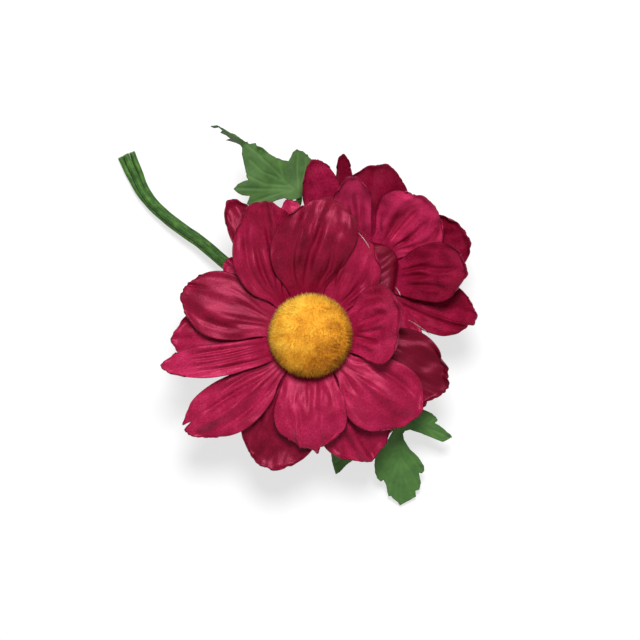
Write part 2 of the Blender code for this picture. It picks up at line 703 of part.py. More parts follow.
satin = material("burgundy_satin", (0.26, 0.012, 0.035), 0.55)
leaf_cloth = material("green_leaf_cloth", (0.07, 0.16, 0.04), 0.6)
flock = material("yellow_flock", (0.78, 0.42, 0.04), 0.9)
moulded = material("green_moulding", (0.05, 0.12, 0.03), 0.5)
wrap = material("green_stem_wrap", (0.06, 0.13, 0.03), 0.45)
steel = material("plated_steel", (0.55, 0.55, 0.57), 0.3, 1.0)
spring_steel = material("spring_steel", (0.35, 0.35, 0.37), 0.35, 1.0)
pad_felt = material("green_felt", (0.05, 0.1, 0.04), 0.95)
hot_glue = material("hot_glue", (0.75, 0.72, 0.62), 0.3)

daisy(FRONT, FRONT_UPPER, FRONT_LOWER, satin, leaf_cloth, flock, moulded)
daisy(BACK, BACK_UPPER, BACK_LOWER, satin, leaf_cloth, flock, moulded)
leaf(LEFT_LEAF, leaf_cloth)
leaf(RIGHT_LEAF, leaf_cloth)

upper_plate(steel)
prong(steel)
pin(steel)
spring(spring_steel)
felt(pad_felt)

mouth = 2 * SEAT_GAP + SEPAL_CLOTH + CALYX_DEPTH
front_path = [daisy_matrix(FRONT) @ Vector((0, 0, SOCKET_DEPTH - SEAT_GAP - mouth)),
              daisy_matrix(FRONT) @ Vector((0, 0, -0.5 * MM - mouth))]
front_path += [Vector(p) * MM for p in ((-7.8, -9.4, 17.0), (-10.0, -6.0, 12.2), (-15.5, -1.4, 10.9))]
front_path += bunch_path(BUNCH_SIDE, 0)
back_path = [daisy_matrix(BACK) @ Vector((0, 0, SOCKET_DEPTH - SEAT_GAP - mouth)),
             daisy_matrix(BACK) @ Vector((0, 0, -0.3 * MM - mouth))]
back_path += [Vector(p) * MM for p in ((5.6, 6.3, 11.1), (1.0, 5.8, 10.9), (-12.0, 4.8, 10.9))]
back_path += bunch_path(-BUNCH_SIDE, 0)
left_path = under_leaf(LEFT_LEAF)
left_path += [Vector(p) * MM for p in ((-14.0, 23.6, 19.2), (-19.6, 16.0, 15.4),
                                       (-27.0, 9.4, 12.6))]
left_path += bunch_path(0, BUNCH_TOP)[1:]
right_path = under_leaf(RIGHT_LEAF)
right_path += [Vector(p) * MM for p in ((15.0, -26.0, 16.6), (9.0, -16.0, 12.4), (3.0, -8.4, 10.9),
                                        (-3.0, -3.4, 10.9))]

stem("front_stem", front_path, wrap)
stem("back_stem", back_path, wrap)
stem("left_leaf_stem", left_path, wrap)
stem("right_leaf_stem", right_path, wrap)
glue([front_path, back_path, right_path], hot_glue)
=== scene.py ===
"""Looks of the flower hair clip: cloth petals and leaves, flocked centres, wrapped stems, metal clip.

Everything is in metres in the part's own frame: +Z points out of the front daisy at the camera,
+Y is up in the picture and -X runs along the clip to its nose.
"""
import math
from collections import namedtuple

import bmesh
import bpy
from mathutils import Matrix, Vector, noise
from mathutils.geometry import delaunay_2d_cdt


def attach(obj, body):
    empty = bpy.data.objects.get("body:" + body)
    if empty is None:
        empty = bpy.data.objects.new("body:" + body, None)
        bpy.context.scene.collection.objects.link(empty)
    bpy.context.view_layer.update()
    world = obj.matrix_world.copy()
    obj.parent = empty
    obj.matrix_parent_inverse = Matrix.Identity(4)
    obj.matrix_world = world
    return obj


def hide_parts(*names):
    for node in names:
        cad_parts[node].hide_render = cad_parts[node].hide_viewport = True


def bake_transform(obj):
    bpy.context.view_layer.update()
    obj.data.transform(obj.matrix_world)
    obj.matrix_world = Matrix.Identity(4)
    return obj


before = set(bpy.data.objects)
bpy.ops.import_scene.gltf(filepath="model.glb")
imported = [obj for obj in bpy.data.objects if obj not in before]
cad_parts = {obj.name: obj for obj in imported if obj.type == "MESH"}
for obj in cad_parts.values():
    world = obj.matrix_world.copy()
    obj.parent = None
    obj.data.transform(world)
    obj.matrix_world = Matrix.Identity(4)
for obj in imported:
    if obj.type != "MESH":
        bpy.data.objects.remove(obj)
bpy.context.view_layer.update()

MM = 0.001


def in_mm(*points):
    return [Vector(p) * MM for p in points]


BODY = "decorated_jaw"
noise.seed_set(1)            # or the leaves' rims would fray differently each run

# ---------------------------------------------------------------- the part's own sizes
SEAT_GAP = 0.3 * MM
PETAL_CLOTH = 0.5 * MM
SEPAL_CLOTH = 0.4 * MM
LEAF_CLOTH = 0.5 * MM
DISC_RADIUS = 10.5 * MM
PEG_RADIUS = 1.3 * MM
RING_SPACING = PETAL_CLOTH + SEAT_GAP
CALYX_DEPTH = 4.4 * MM
SOCKET_DEPTH = 2.4 * MM
SEPAL_DISC_RADIUS = 6.0 * MM
STEM_RADIUS = 0.85 * MM
HINGE = Vector((14.0, 0, 3.9)) * MM
COIL_REACH = Vector((0, 1.5, 0)) * MM      # how far the spring's coil runs each way along the pin
WIDEST_AT = 0.62
TIP_SPAN = 1.12
TIP_ROUND = 0.14
BASE_BLEND = 0.34
CUT_SHARE = 0.03
FREE_FROM = 0.04
FREE_SPAN = 0.26
FOLD_SPAN = 0.34
CURL_POWER = 6
BUNCH = in_mm((-24.6, 4.8, 10.4), (-33.5, 11.5, 8.6), (-40.9, 17.7, 6.8), (-48.4, 23.0, 5.2),
              (-54.6, 28.2, 3.8), (-58.8, 33.3, 2.7), (-61.6, 39.0, 1.8), (-64.2, 44.9, 1.2))
BUNCH_SIDE = STEM_RADIUS + SEAT_GAP / 2
BUNCH_TOP = 1.74 * BUNCH_SIDE

# ---------------------------------------------------------------- what only the looks have
CLOTH_SEEN = 0.32 * MM       # visible thickness of the cloth
PETAL_GRID = (60, 60)        # rows and columns of a petal's mesh
SEPAL_GRID = (20, 8)
RINGS_IN = 6                 # rings of faces on the disc inside the petals
FLUTES = 4                   # sharp flutes on each petal
FLUTE_DEPTH = 0.62 * MM
FLUTE_WIDTH = 0.32 * MM      # their width at the foot of a petal
WRINKLE = 1.15 * MM          # how uneven heat-set satin is
CREASE = 1.4 * MM            # the height that a crease of depth 1 has
RIM_TURN = 0.7 * MM          # how far a petal's cut edge turns up
RIM_BAND = 2.4 * MM          # and how far in from the edge this starts
SEALED_BAND = 0.4 * MM       # width of the darker, heat-sealed edge
SATIN_THREAD = 0.3 * MM      # coarser than the real 0.1 mm, so that the weave shows
LEAF_STEP = 0.42 * MM        # size of a leaf's faces
VEIN_DEPTH = 0.30 * MM       # how deep the leaves' veins are pressed
VEIN_WIDTH = 0.34 * MM
FIBRE_LENGTH = 1.5 * MM      # flock, coarser than the real one, so that it shows
FIBRE_RADIUS = 0.085 * MM
SPLAY = 0.9                  # how much further apart the stems' cut ends stand
TAPE_PITCH = 1.6 * MM        # from one winding of the stems' tape to the next
THREAD_RADIUS = 0.17 * MM
GLUE_THREADS = (((6.9, 19.7), (10.1, 15.2)), ((18.2, 3.9), (19.7, 1.2)), ((22.1, -6.0), (28.6, -10.4)))

Petal = namedtuple("Petal", "angle length width lift bend cup sweep cut curl slant fold looks")
Flower = namedtuple("Flower", "name place lean lean_towards ball_radius ball_height ball_foot")
Leaf = namedtuple("Leaf", "name place tip tip_towards palm_radius lobe outline veins rolled pocket seed")


def petal(angle, length, width, lift, bend, cup=0, sweep=0, cut=None, curl=0, slant=0, fold=0, **looks):
    """A petal as in the part, in degrees and millimetres, and what only its looks have.

    tone darkens or lightens its colour, a painted shade or painted light for how the light falls on
    it, veins scales its flutes and reach lengthens them, wrinkle and wave scale its unevenness, rim
    its turned edge and ragged its frayed tip, and soft is the side, 1 or -1, whose edge is turned
    under. notches are (v, depth, width) and creases (v, depth, width, start, end), with v from -1 to 1
    across the petal and start and end from 0 to 1 along it.
    """
    return Petal(angle, length * MM, width * MM, lift, bend, cup, sweep, cut, curl, slant, fold, looks)


FRONT = Flower("front", Vector((-7.3, -10.6, 32.0)) * MM, 0.0, 0.0, 12.8 * MM, 11.5 * MM, 7.0 * MM)
BACK = Flower("back", Vector((7.2, 7.0, 18.2)) * MM, 6.0, 45.0, 7.6 * MM, 5.6 * MM, 5.5 * MM)

# Each petal's tone is painted shade (below 0) or painted light (above 0) for how the light and the satin's
# sheen fall on it.
FRONT_UPPER = [
    petal(7, 21.5, 23.5, 27, 22, 22, 4, cut=34, curl=-15, slant=0.09, tone=0.2, rim=1.6, veins=1.2,
          creases=[(0.2, -0.8, 0.08, 0.1, 0.75), (-0.15, -0.7, 0.07, 0.1, 0.7),
                   (0.02, 0.7, 0.1, 0.1, 0.8)]),
    petal(53, 24.0, 18.0, 14, -6, -8, 8, cut=73, slant=0.07, tone=-0.3, veins=1.2),
    petal(95, 32.0, 25.5, 35, -36, -12, -11, cut=118, curl=-30, slant=-0.03, tone=-0.8, soft=-1,
          reach=0.1, veins=1.2, creases=[(0.35, 0.9, 0.12, 0.3, 1.0), (-0.1, -0.7, 0.08, 0.4, 0.9)]),
    petal(129, 33.0, 20.5, 23, -24, -12, -17, cut=141, curl=20, tone=-0.3, reach=0.15, veins=1.2,
          creases=[(-0.5, 1.2, 0.12, 0.2, 1.3), (-0.25, -0.8, 0.07, 0.2, 0.8),
                   (0.35, -0.6, 0.2, 0.5, 1.1)]),
    petal(162, 30.0, 20.0, 8, -14, -14, -1, cut=182, curl=-20, tone=-0.6, veins=0.4, wave=0.2,
          wrinkle=0.3, creases=[(-0.35, -0.6, 0.06, 0.75, 1.3), (0.58, -0.6, 0.12, 0.3, 0.9),
                                (0.3, 0.4, 0.2, 0.3, 0.9)]),
    petal(198, 35.5, 10.0, 24, -36, -18, -6, cut=214, curl=-10, tone=0.3, reach=0.15, veins=1.0),
    petal(226, 36.5, 17.0, 8, -20, -18, -8, cut=236, curl=-10, wrinkle=0.7,
          notches=[(-0.3, 0.09, 0.06)], creases=[(0.1, 1.0, 0.16, 0.2, 1.0), (-0.3, -0.7, 0.09, 0.3, 0.9),
                                                 (0.5, -0.6, 0.1, 0.3, 0.8)]),
    petal(270, 24.5, 22.5, 26, -46, -20, 0, cut=302, curl=-30, tone=0.1, veins=0.35,
          notches=[(-0.35, 0.05, 0.08), (0.4, 0.05, 0.08)],
          creases=[(-0.4, 0.8, 0.1, 0.6, 1.3), (0.3, 0.7, 0.12, 0.5, 1.3)]),
    petal(318, 30.0, 23.5, 12, -28, -18, 3, cut=335, curl=-10, slant=0.05, rim=1.5, wrinkle=0.5,
          creases=[(0.1, 0.9, 0.2, 0.3, 1.0), (0.55, -0.8, 0.09, 0.2, 0.9)]),
]
FRONT_LOWER = [
    petal(32, 12.0, 11.0, 2, 6),
    petal(78, 23.0, 17.0, 2, 2),
    petal(99, 31.0, 12.5, -11, 2, 6),
    petal(119, 36.5, 12.5, 2, -10, 8, 2, cut=130, tone=-0.9, ragged=0.004, rim=2.0),
    petal(139, 24.0, 10.5, -9, -7, 8, cut=156),
    petal(181, 31.5, 19.0, -3, -12, 8, 1),
    petal(215, 11.0, 9.0, -3, -8),
    petal(252, 31.8, 22.5, -5, -10, 12, curl=30, tone=-0.8, veins=0.4, wave=0.25),
    petal(297, 31.5, 23.0, -11, -2, 12, tone=-0.1, creases=[(-0.2, 1.4, 0.14, 0.2, 1.3)]),
    petal(341, 33.5, 24.5, -4, -6, 14, -2, tone=-1.4, ragged=0.025, rim=1.8),
]
BACK_UPPER = [
    petal(46, 24.0, 23.0, 31, 16, 12, reach=0.15, veins=1.3, tone=0.7,
          creases=[(-0.3, -1.0, 0.07, 0.1, 0.8), (0.1, -1.2, 0.07, 0.1, 0.8),
                   (0.28, -0.9, 0.05, 0.1, 0.7), (0.6, 1.2, 0.2, 0.1, 1.0)]),
    petal(98, 26.0, 12.0, 38, 18, 22, tone=0.9, veins=1.2),
    petal(119, 31.0, 12.0, 26, 10, 10, -4),
    petal(172, 15.0, 12.0, 14, -24, 8),
    petal(212, 28.5, 20.0, 62, 18, 6, fold=108, tone=-1.6),
    petal(264, 15.0, 12.0, 14, -24, 8),
    petal(306, 20.0, 11.0, 27, -14, 10),
    petal(1, 28.0, 18.0, 38, 10, 16, tone=-0.4, reach=0.1, veins=1.2, rim=2.2),
]
BACK_LOWER = [
    petal(19, 27.5, 20.0, 22, 20, 12, tone=-0.6),
    petal(80, 27.0, 20.0, 24, 20, 12, tone=-0.4, veins=0.9),
    petal(100, 31.0, 5.5, 14, 38, 10, tone=-0.5),
    petal(152, 16.0, 13.0, 6, -12, 6),
    petal(197, 12.0, 12.0, 4, -10, 6),
    petal(240, 12.0, 12.0, 4, -10, 6),
    petal(285, 16.0, 14.0, 2, -10, 6),
    petal(337, 29.5, 16.0, 15, 24, 18, tone=-0.3,
          creases=[(-0.33, 1.3, 0.08, 0.0, 1.2), (0.3, -0.7, 0.2, 0.3, 1.2)]),
]
SEPALS = [petal(a, 13.0, 5.0, -6, -10, 6) for a in range(22, 382, 60)]

# Each leaf's cut outline and its pressed veins, in millimetres from its palm, seen along its normal
LEFT_OUTLINE = [
    (4.2, 5.6), (4.5, 8), (4.2, 10.1), (2.6, 11.6), (1.1, 13.1), (-0.1, 13.1), (-0.7, 13.6), (-1.9, 12.8),
    (-2.5, 11.3), (-3.1, 10.1), (-4.9, 10.4), (-6.7, 11), (-8.8, 12.2), (-10.9, 13.7), (-12.7, 14.7),
    (-13, 15.5), (-15.1, 15.2), (-18.3, 17.3), (-19.5, 18.2), (-20.7, 18.5), (-23.1, 20), (-24.9, 20.4),
    (-26.6, 20.3), (-25.5, 19.8), (-24.3, 20), (-23.1, 19.1), (-23.7, 18.5), (-21.9, 17.6), (-20.4, 16.5),
    (-22.2, 16.4), (-20.1, 15.8), (-17.8, 14.9), (-17.2, 14), (-17.2, 11.9), (-16.6, 9.5), (-16.1, 7.1),
    (-15.4, 4.4), (-16.9, 4), (-18.4, 3.2), (-19.7, 1.7), (-18.4, 0.5), (-16.9, -0.2), (-14.8, -0.4),
    (-15.1, -1.4), (-15.7, -2.8), (-13.9, -3.4), (-12.7, -3.1), (-11.2, -3.4), (-9.9, -2.6), (-8.7, -2.5),
    (-6.6, -1.6), (-4.5, -1), (-2.4, -1.6), (0.3, -1), (2.7, 1.4),
]
LEFT_VEINS = [
    [(-1.5, 1.7), (-8.2, 8.3), (-13.3, 12.8), (-16.0, 15.2)], [(-3.9, 4.1), (-11.2, 6.8), (-14.8, 10.4)],
    [(-2.7, 2.6), (-10.3, 3.2), (-15.4, 5.6)], [(-2.1, 1.4), (-11.2, 1.7), (-18.7, 1.9)],
    [(-2.4, 1.1), (-8.7, -0.4), (-14.2, -2.5)], [(-0.3, 2.3), (-0.6, 7.4), (-0.4, 12.8)],
    [(0.6, 3.2), (2.1, 8.0), (2.0, 11.3)], [(-4.5, 4.4), (-5.4, 7.4), (-6.1, 10.4)],
]
RIGHT_OUTLINE = [
    (-1.6, -1.7), (-6.1, -6), (-11.4, -9.5), (-15.9, -12.1), (-20.1, -15), (-19.7, -18.2), (-18.5, -22.7),
    (-17.3, -21.7), (-15.4, -19.5), (-12.2, -16.5), (-7.7, -13.3), (-3.6, -8.7), (-1.2, -6.4),
    (-2.1, -8.1), (-2.9, -9.8), (-5, -12.9), (-6.6, -16), (-6.8, -18.9), (-6.5, -21.8), (-5.7, -24),
    (-4.6, -25.2), (-3.8, -24.4), (-3, -26.3), (-2.4, -28.7), (-2.1, -30.7), (-1.3, -30.4), (-0.6, -31.4),
    (0.8, -32.6), (1.6, -33.9), (3.1, -33), (4.7, -32.1), (6.5, -30.9), (6.2, -28.9), (7.4, -28.4),
    (7.8, -26), (7.4, -24), (7, -22.2), (7.9, -22.5), (8.6, -21.5), (8.4, -19.6), (6.6, -16.5),
    (3.9, -13.7), (2, -10.2), (1.6, -8), (2.2, -7.1), (3.7, -6.8), (6.2, -7.8), (9.3, -9.4), (12, -10.6),
    (13.8, -11.4), (15.5, -11.2), (16.6, -10.4), (15.7, -8.8), (14.1, -7), (12.5, -5.7), (11.2, -4.9),
    (12.1, -3.8), (10.3, -1.7), (8.1, -0.6), (4.1, 1.2), (1, 2.6),
]
RIGHT_VEINS = [
    [(0.5, -2.7), (0.7, -10.2), (1.4, -20.8), (1.9, -32.8)], [(0.8, -12.6), (-2.7, -17.2), (-5.2, -23.7)],
    [(0.9, -16.5), (-1.3, -22.6), (-2.0, -29.3)], [(1.4, -20.8), (0.1, -26.3), (0.0, -31.6)],
    [(1.1, -12.6), (4.6, -16.2), (7.9, -21.4)], [(1.2, -16.5), (4.8, -21.7), (6.9, -26.9)],
    [(1.7, -20.8), (3.8, -26.4), (5.5, -31.0)], [(1.4, -1.7), (8.3, -6.0), (15.8, -9.8)],
    [(6.7, -4.9), (9.7, -4.4), (11.2, -3.1)], [(9.2, -6.7), (11.8, -9.6), (13.0, -10.7)],
    [(-0.4, -2.3), (-8.4, -8.1), (-18.5, -18.9)],
]

LEFT_LEAF = Leaf("left_leaf", Vector((-10.8, 31.6, 24.0)) * MM, 4.0, 140.0, 9.0 * MM,
                 petal(141, 25.0, 13.0, 9, -24), LEFT_OUTLINE, LEFT_VEINS,
                 ((-16.0, 14.4), (-26.6, 20.4)), (-11.4, 13.2, 1.8), 1.3)
RIGHT_LEAF = Leaf("right_leaf", Vector((19.2, -33.0, 17.6)) * MM, -22.5, 280.0, 3.5 * MM,
                  petal(272, 31.5, 16.5, -2, -12), RIGHT_OUTLINE, RIGHT_VEINS,
                  None, (15.6, -10.6, 1.6), 6.3)

# ---------------------------------------------------------------- materials

MOTTLED = {"Detail": 3.0, "Roughness": 0.6}      # noise for slow changes of tone


def linear(hex_colour):
    """An sRGB hex colour as linear RGBA."""
    channels = [int(hex_colour[k:k + 2], 16) / 255 for k in (1, 3, 5)]
    return (*[c / 12.92 if c <= 0.04045 else ((c + 0.055) / 1.055) ** 2.4 for c in channels], 1.0)


def node(tree, kind, inputs=None, out=0, stops=(), **settings):
    """Add a node, set its options, inputs and (position, hex) colour stops, and give one output.

    A kind of shader node goes without its prefix.
    """
    made = tree.nodes.new(kind if "Node" in kind else "ShaderNode" + kind)
    for key, value in settings.items():
        setattr(made, key, value)
    for key, value in (inputs or {}).items():
        if isinstance(value, bpy.types.NodeSocket):
            tree.links.new(value, made.inputs[key])
        else:
            made.inputs[key].default_value = value
    if stops:
        elements = made.color_ramp.elements
        while len(elements) < len(stops):
            elements.new(0.5)
        for element, (position, colour) in zip(elements, stops):
            element.position = position
            element.color = linear(colour)
    return made.outputs[out] if made.outputs else None


def new_material(name):
    """A material without nodes, its tree, and the place on the piece."""
    made = bpy.data.materials.new(name)
    made.use_nodes = True
    made.node_tree.nodes.clear()
    return made, made.node_tree, node(made.node_tree, "TexCoord", out="Object")


def layered(tree, *patterns):
    """The sum of several patterns, each times its weight."""
    total = 0.0
    for pattern, weight in patterns:
        total = node(tree, "Math", {0: pattern, 1: weight, 2: total}, operation="MULTIPLY_ADD")
    return total


def tinted(tree, colour, mask, share, towards):
    """A colour drawn towards a hex colour where the mask is high, by the given share."""
    factor = node(tree, "Math", {0: mask, 1: share}, operation="MULTIPLY")
    return node(tree, "Mix", {0: factor, 6: colour, 7: linear(towards)}, 2, data_type="RGBA")


def solid_surface(tree, settings):
    shader = node(tree, "BsdfPrincipled", settings)
    node(tree, "OutputMaterial", {"Surface": shader})


def cloth_surface(tree, colour, relief, through, settings):
    """A cloth's face, and the share of light that comes through it from behind."""
    face = node(tree, "BsdfPrincipled", {"Base Color": colour, "Normal": relief, **settings})
    back = node(tree, "BsdfTranslucent", {"Color": colour, "Normal": relief})
    both = node(tree, "MixShader", {0: through, 1: face, 2: back})
    node(tree, "OutputMaterial", {"Surface": both})


def satin_cloth(name, deep, shade, base, light):
    """Heat-set polyester satin: a dense warp-faced weave, so threads streak along the petal and glint."""
    made, tree, place = new_material(name)
    weave = node(tree, "UVMap", uv_map="cloth")
    along = node(tree, "Mapping", {"Vector": weave, "Scale": (1.0, 0.3, 1.0)})
    streak = node(tree, "TexNoise", {"Vector": along, "Scale": 1 / SATIN_THREAD, "Roughness": 0.6})
    grain = node(tree, "TexNoise", {"Vector": weave, "Scale": 1 / (1.3 * SATIN_THREAD),
                                    "Roughness": 0.6})
    mottle = node(tree, "TexNoise", {"Vector": place, "Scale": 1 / (6 * MM)})
    groove, edge, shift = (node(tree, "Attribute", out="Fac", attribute_name=each)
                           for each in ("groove", "edge", "tone"))
    # shift carries each petal's tone, a painted shade or painted light on the whole petal
    tone = layered(tree, (streak, 0.3), (grain, 0.2), (mottle, 0.3), (shift, 0.16))
    colour = node(tree, "ValToRGB", {0: tone},
                  stops=[(0.2, deep), (0.32, shade), (0.42, base), (0.54, light)])
    # Painted shade: the flute grooves are drawn darker, towards the shade colour.
    colour = tinted(tree, colour, groove, 0.6, shade)
    colour = tinted(tree, colour, edge, 0.85, "#560a1e")
    relief = node(tree, "Bump", {"Strength": 0.55, "Distance": 0.1 * MM,
                                 "Height": layered(tree, (streak, 0.6), (grain, 0.9))})
    cloth_surface(tree, colour, relief, 0.03, {
        "Roughness": 0.37, "Specular IOR Level": 0.5, "Specular Tint": linear("#ff7298")})
    return made


def leaf_cloth(name, shade, base, light):
    """Printed polyester poplin: matt, a plain weave, with the veins pressed in by a hot mould."""
    made, tree, place = new_material(name)
    weave = node(tree, "UVMap", uv_map="cloth")
    grain = node(tree, "TexNoise", {"Vector": weave, "Scale": 1 / (0.35 * MM), "Detail": 1.0})
    mottle = node(tree, "TexNoise", {"Vector": place, "Scale": 1 / (5 * MM), **MOTTLED})
    groove, edge = (node(tree, "Attribute", out="Fac", attribute_name=each)
                    for each in ("groove", "edge"))
    colour = node(tree, "ValToRGB", {0: mottle}, stops=[(0.3, shade), (0.5, base), (0.72, light)])
    colour = tinted(tree, colour, groove, 0.35, "#6f9655")
    colour = tinted(tree, colour, edge, 0.5, "#2c4420")
    colour = tinted(tree, colour, grain, 0.25, "#5f8549")
    relief = node(tree, "Bump", {"Strength": 0.4, "Distance": 0.1 * MM, "Height": grain})
    cloth_surface(tree, colour, relief, 0.1, {
        "Roughness": 0.62, "Specular IOR Level": 0.25, "Sheen Weight": 0.1, "Sheen Roughness": 0.5})
    return made


def flock(name):
    """Nylon flock: short upright fibres, pale where they catch the light and amber down between them.

    It is darker towards its lower right, which is painted shade on the side turned from the light.
    """
    made, tree, place = new_material(name)
    fibre = node(tree, "NewGeometry", out="Random Per Island")
    patch = node(tree, "TexNoise", {"Vector": place, "Scale": 1 / (4 * MM), **MOTTLED})
    # painted shade: darker towards the lower right, away from the light
    painted_side_shade = node(tree, "VectorMath", {0: place, 1: (36.0, -30.0, 0.0)}, 1,
                  operation="DOT_PRODUCT")
    colour = node(tree, "ValToRGB", {0: layered(tree, (fibre, 0.3), (patch, 0.7), (painted_side_shade, -0.32))},
                  stops=[(0.2, "#9c5a0c"), (0.36, "#cf8a1c"), (0.52, "#e9ac2e"), (0.7, "#f9cf4c")])
    solid_surface(tree, {
        "Base Color": colour, "Roughness": 0.75, "Specular IOR Level": 0.25, "Sheen Weight": 0.08,
        "Sheen Roughness": 0.5, "Sheen Tint": linear("#ffe9a8")})
    return made


def stem_wrap(name):
    """Wire wound in stretched plastic tape: slightly glossy, with the slanting edges of the winding."""
    made, tree, place = new_material(name)
    run = node(tree, "UVMap", uv_map="cloth")
    wind = node(tree, "TexWave", {"Vector": run, "Scale": 1 / (20 * TAPE_PITCH), "Distortion": 2.0,
                                  "Detail": 1.0}, 1, bands_direction="DIAGONAL")
    mottle = node(tree, "TexNoise", {"Vector": place, "Scale": 1 / (2.5 * MM), **MOTTLED})
    cut = node(tree, "Attribute", out="Fac", attribute_name="cut")
    colour = node(tree, "ValToRGB", {0: mottle},
                  stops=[(0.3, "#254614"), (0.52, "#396322"), (0.76, "#598635")])
    colour = tinted(tree, colour, cut, 1.0, "#93a37a")
    relief = node(tree, "Bump", {"Strength": 0.5, "Distance": 0.15 * MM, "Height": wind})
    solid_surface(tree, {
        "Base Color": colour, "Roughness": 0.5, "Normal": relief, "Specular IOR Level": 0.2})
    return made


def plated_metal(name, tint, roughness):
    """Nickel-plated strip: bright, with fine rolling marks along the clip."""
    made, tree, place = new_material(name)
    marks = node(tree, "Mapping", {"Vector": place, "Scale": (0.05, 1.0, 1.0)})
    lines = node(tree, "TexNoise", {"Vector": marks, "Scale": 1 / (0.12 * MM), "Roughness": 0.6})
    smear = node(tree, "TexNoise", {"Vector": place, "Scale": 1 / (4 * MM), **MOTTLED})
    rough = node(tree, "Math", {0: smear, 1: 0.18, 2: roughness - 0.06}, operation="MULTIPLY_ADD")
    relief = node(tree, "Bump", {"Strength": 0.12, "Distance": 0.02 * MM, "Height": lines})
    solid_surface(tree, {"Base Color": linear(tint), "Metallic": 1.0, "Roughness": rough, "Normal": relief})
    return made


def felt_cloth(name):
    """Pressed acrylic felt: matt, with tangled fibres and no weave."""
    made, tree, place = new_material(name)
    tangle = node(tree, "TexNoise", {"Vector": place, "Scale": 1 / (0.4 * MM), "Detail": 4.0,
                                     "Roughness": 0.7})
    colour = node(tree, "ValToRGB", {0: tangle}, stops=[(0.3, "#2f4722"), (0.7, "#4b6a38")])
    relief = node(tree, "Bump", {"Strength": 0.8, "Distance": 0.25 * MM, "Height": tangle})
    solid_surface(tree, {
        "Base Color": colour, "Roughness": 0.95, "Normal": relief, "Sheen Weight": 0.4,
        "Specular IOR Level": 0.15})
    return made


def set_glue(name):
    """Hot-melt glue: milky and soft-edged, glossy where it set against air."""
    made, tree, place = new_material(name)
    wave = node(tree, "TexNoise", {"Vector": place, "Scale": 1 / (2.5 * MM)})
    relief = node(tree, "Bump", {"Strength": 0.4, "Distance": 0.4 * MM, "Height": wave})
    solid_surface(tree, {
        "Base Color": linear("#dcd6c2"), "Roughness": 0.28, "Subsurface Weight": 0.5,
        "Subsurface Radius": (1.0, 0.9, 0.7), "Subsurface Scale": 1.5 * MM, "Normal": relief})
    return made


def moulded_plastic(name):
    """Injection-moulded polyethylene: waxy green with a faint orange-peel skin."""
    made, tree, place = new_material(name)
    skin = node(tree, "TexNoise", {"Vector": place, "Scale": 1 / (0.6 * MM)})
    tone = node(tree, "TexNoise", {"Vector": place, "Scale": 1 / (3 * MM)})
    colour = node(tree, "ValToRGB", {0: tone}, stops=[(0.35, "#3a5a26"), (0.7, "#49702f")])
    relief = node(tree, "Bump", {"Strength": 0.2, "Distance": 0.05 * MM, "Height": skin})
    solid_surface(tree, {"Base Color": colour, "Roughness": 0.4, "Normal": relief})
    return made


# ---------------------------------------------------------------- geometry helpers


def smoothstep(x):
    x = min(1.0, max(0.0, x))
    return x * x * (3 - 2 * x)


def bell(x):
    return math.exp(-x * x)


def chance(*at):
    """Smooth noise from -1 to 1 at three numbers."""
    return noise.noise(Vector(at))


def in_scene(name, data):
    made = bpy.data.objects.new(name, data)
    bpy.context.scene.collection.objects.link(made)
    return made


def skin(bm, rings):
    """Faces between each ring of vertices and the next."""
    for low, high in zip(rings, rings[1:]):
        for j in range(len(low)):
            after = (j + 1) % len(low)
            bm.faces.new((low[j], low[after], high[after], high[j]))


def as_mesh(bm, name):
    mesh = bpy.data.meshes.new(name)
    bm.to_mesh(mesh)
    bm.free()
    return mesh


def add_piece(name, mesh, finish, nodes, between=None):
    """Put a finished mesh in the scene, with what it stands for and whose finish it takes.

    When between is given, the piece stays unattached to the body, with its transform baked in; the places
    it holds are not used.
    """
    made = in_scene(name, mesh)
    mesh.materials.clear()
    mesh.materials.append(finish)
    mesh.shade_smooth()
    if between:
        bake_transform(made)
    else:
        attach(made, BODY)
    if nodes:
        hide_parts(*nodes)
    return made


def leaning(place, lean, lean_towards):
    towards = math.radians(lean_towards)
    axis = Vector((-math.sin(towards), math.cos(towards), 0))
    return Matrix.Translation(place) @ Matrix.Rotation(math.radians(lean), 4, axis)


def slope_at(petal, at):
    """How steeply a petal climbs at a share of its length, in radians."""
    return math.radians(petal.lift + petal.bend * at + petal.fold * smoothstep(at / FOLD_SPAN)
                        + petal.curl * at ** CURL_POWER)


def midline(petal, t, start_radius, start_z):
    """Radius, height and slope at the share t of a petal's length, as in the part."""
    steps = 24
    radius, z = start_radius, start_z
    for k in range(steps):
        slope = slope_at(petal, t * (k + 0.5) / steps)
        radius += petal.length * t / steps * math.cos(slope)
        z += petal.length * t / steps * math.sin(slope)
    return radius, z, slope_at(petal, t)


def half_width(petal, u, base):
    widest = petal.width / 2
    if u < WIDEST_AT:
        x = u / WIDEST_AT
        return base + (widest - base) * x * (1.5 - 0.5 * x * x)
    return widest * math.sqrt(1 - ((u - WIDEST_AT) / (TIP_SPAN - WIDEST_AT)) ** 2)


def flutes(petal, u, v, half, seed):
    """The sharp flutes pressed into a petal: their height here, and how deep in a groove this is."""
    height, deepest = 0.0, 0.0
    for k in range(FLUTES):
        own = chance(k * 4.3, seed * 2.9, 11.5)
        place = (k + 0.5 + 0.7 * own) / FLUTES * 1.5 - 0.75
        bow = chance(u * 1.8, seed * 2.7 + 3 * k, 4.5)
        apart = half * (v - place * (1 - 0.15 * u) - 0.24 * bow)
        width = FLUTE_WIDTH + 0.035 * half
        end = 0.58 + 0.4 * chance(k * 2.1, seed * 1.7, 8.5) + petal.looks.get("reach", 0.0)
        share = (0.85 - 0.7 * own) * smoothstep((u - 0.02) / 0.14) * smoothstep((end - u) / 0.22)
        groove = bell(apart / width) * share
        height += 0.75 * bell((apart + 2.4 * width) / (1.6 * width)) * share - groove
        deepest = max(deepest, groove)
    veins = petal.looks.get("veins", 0.55)
    return height * veins, deepest * veins


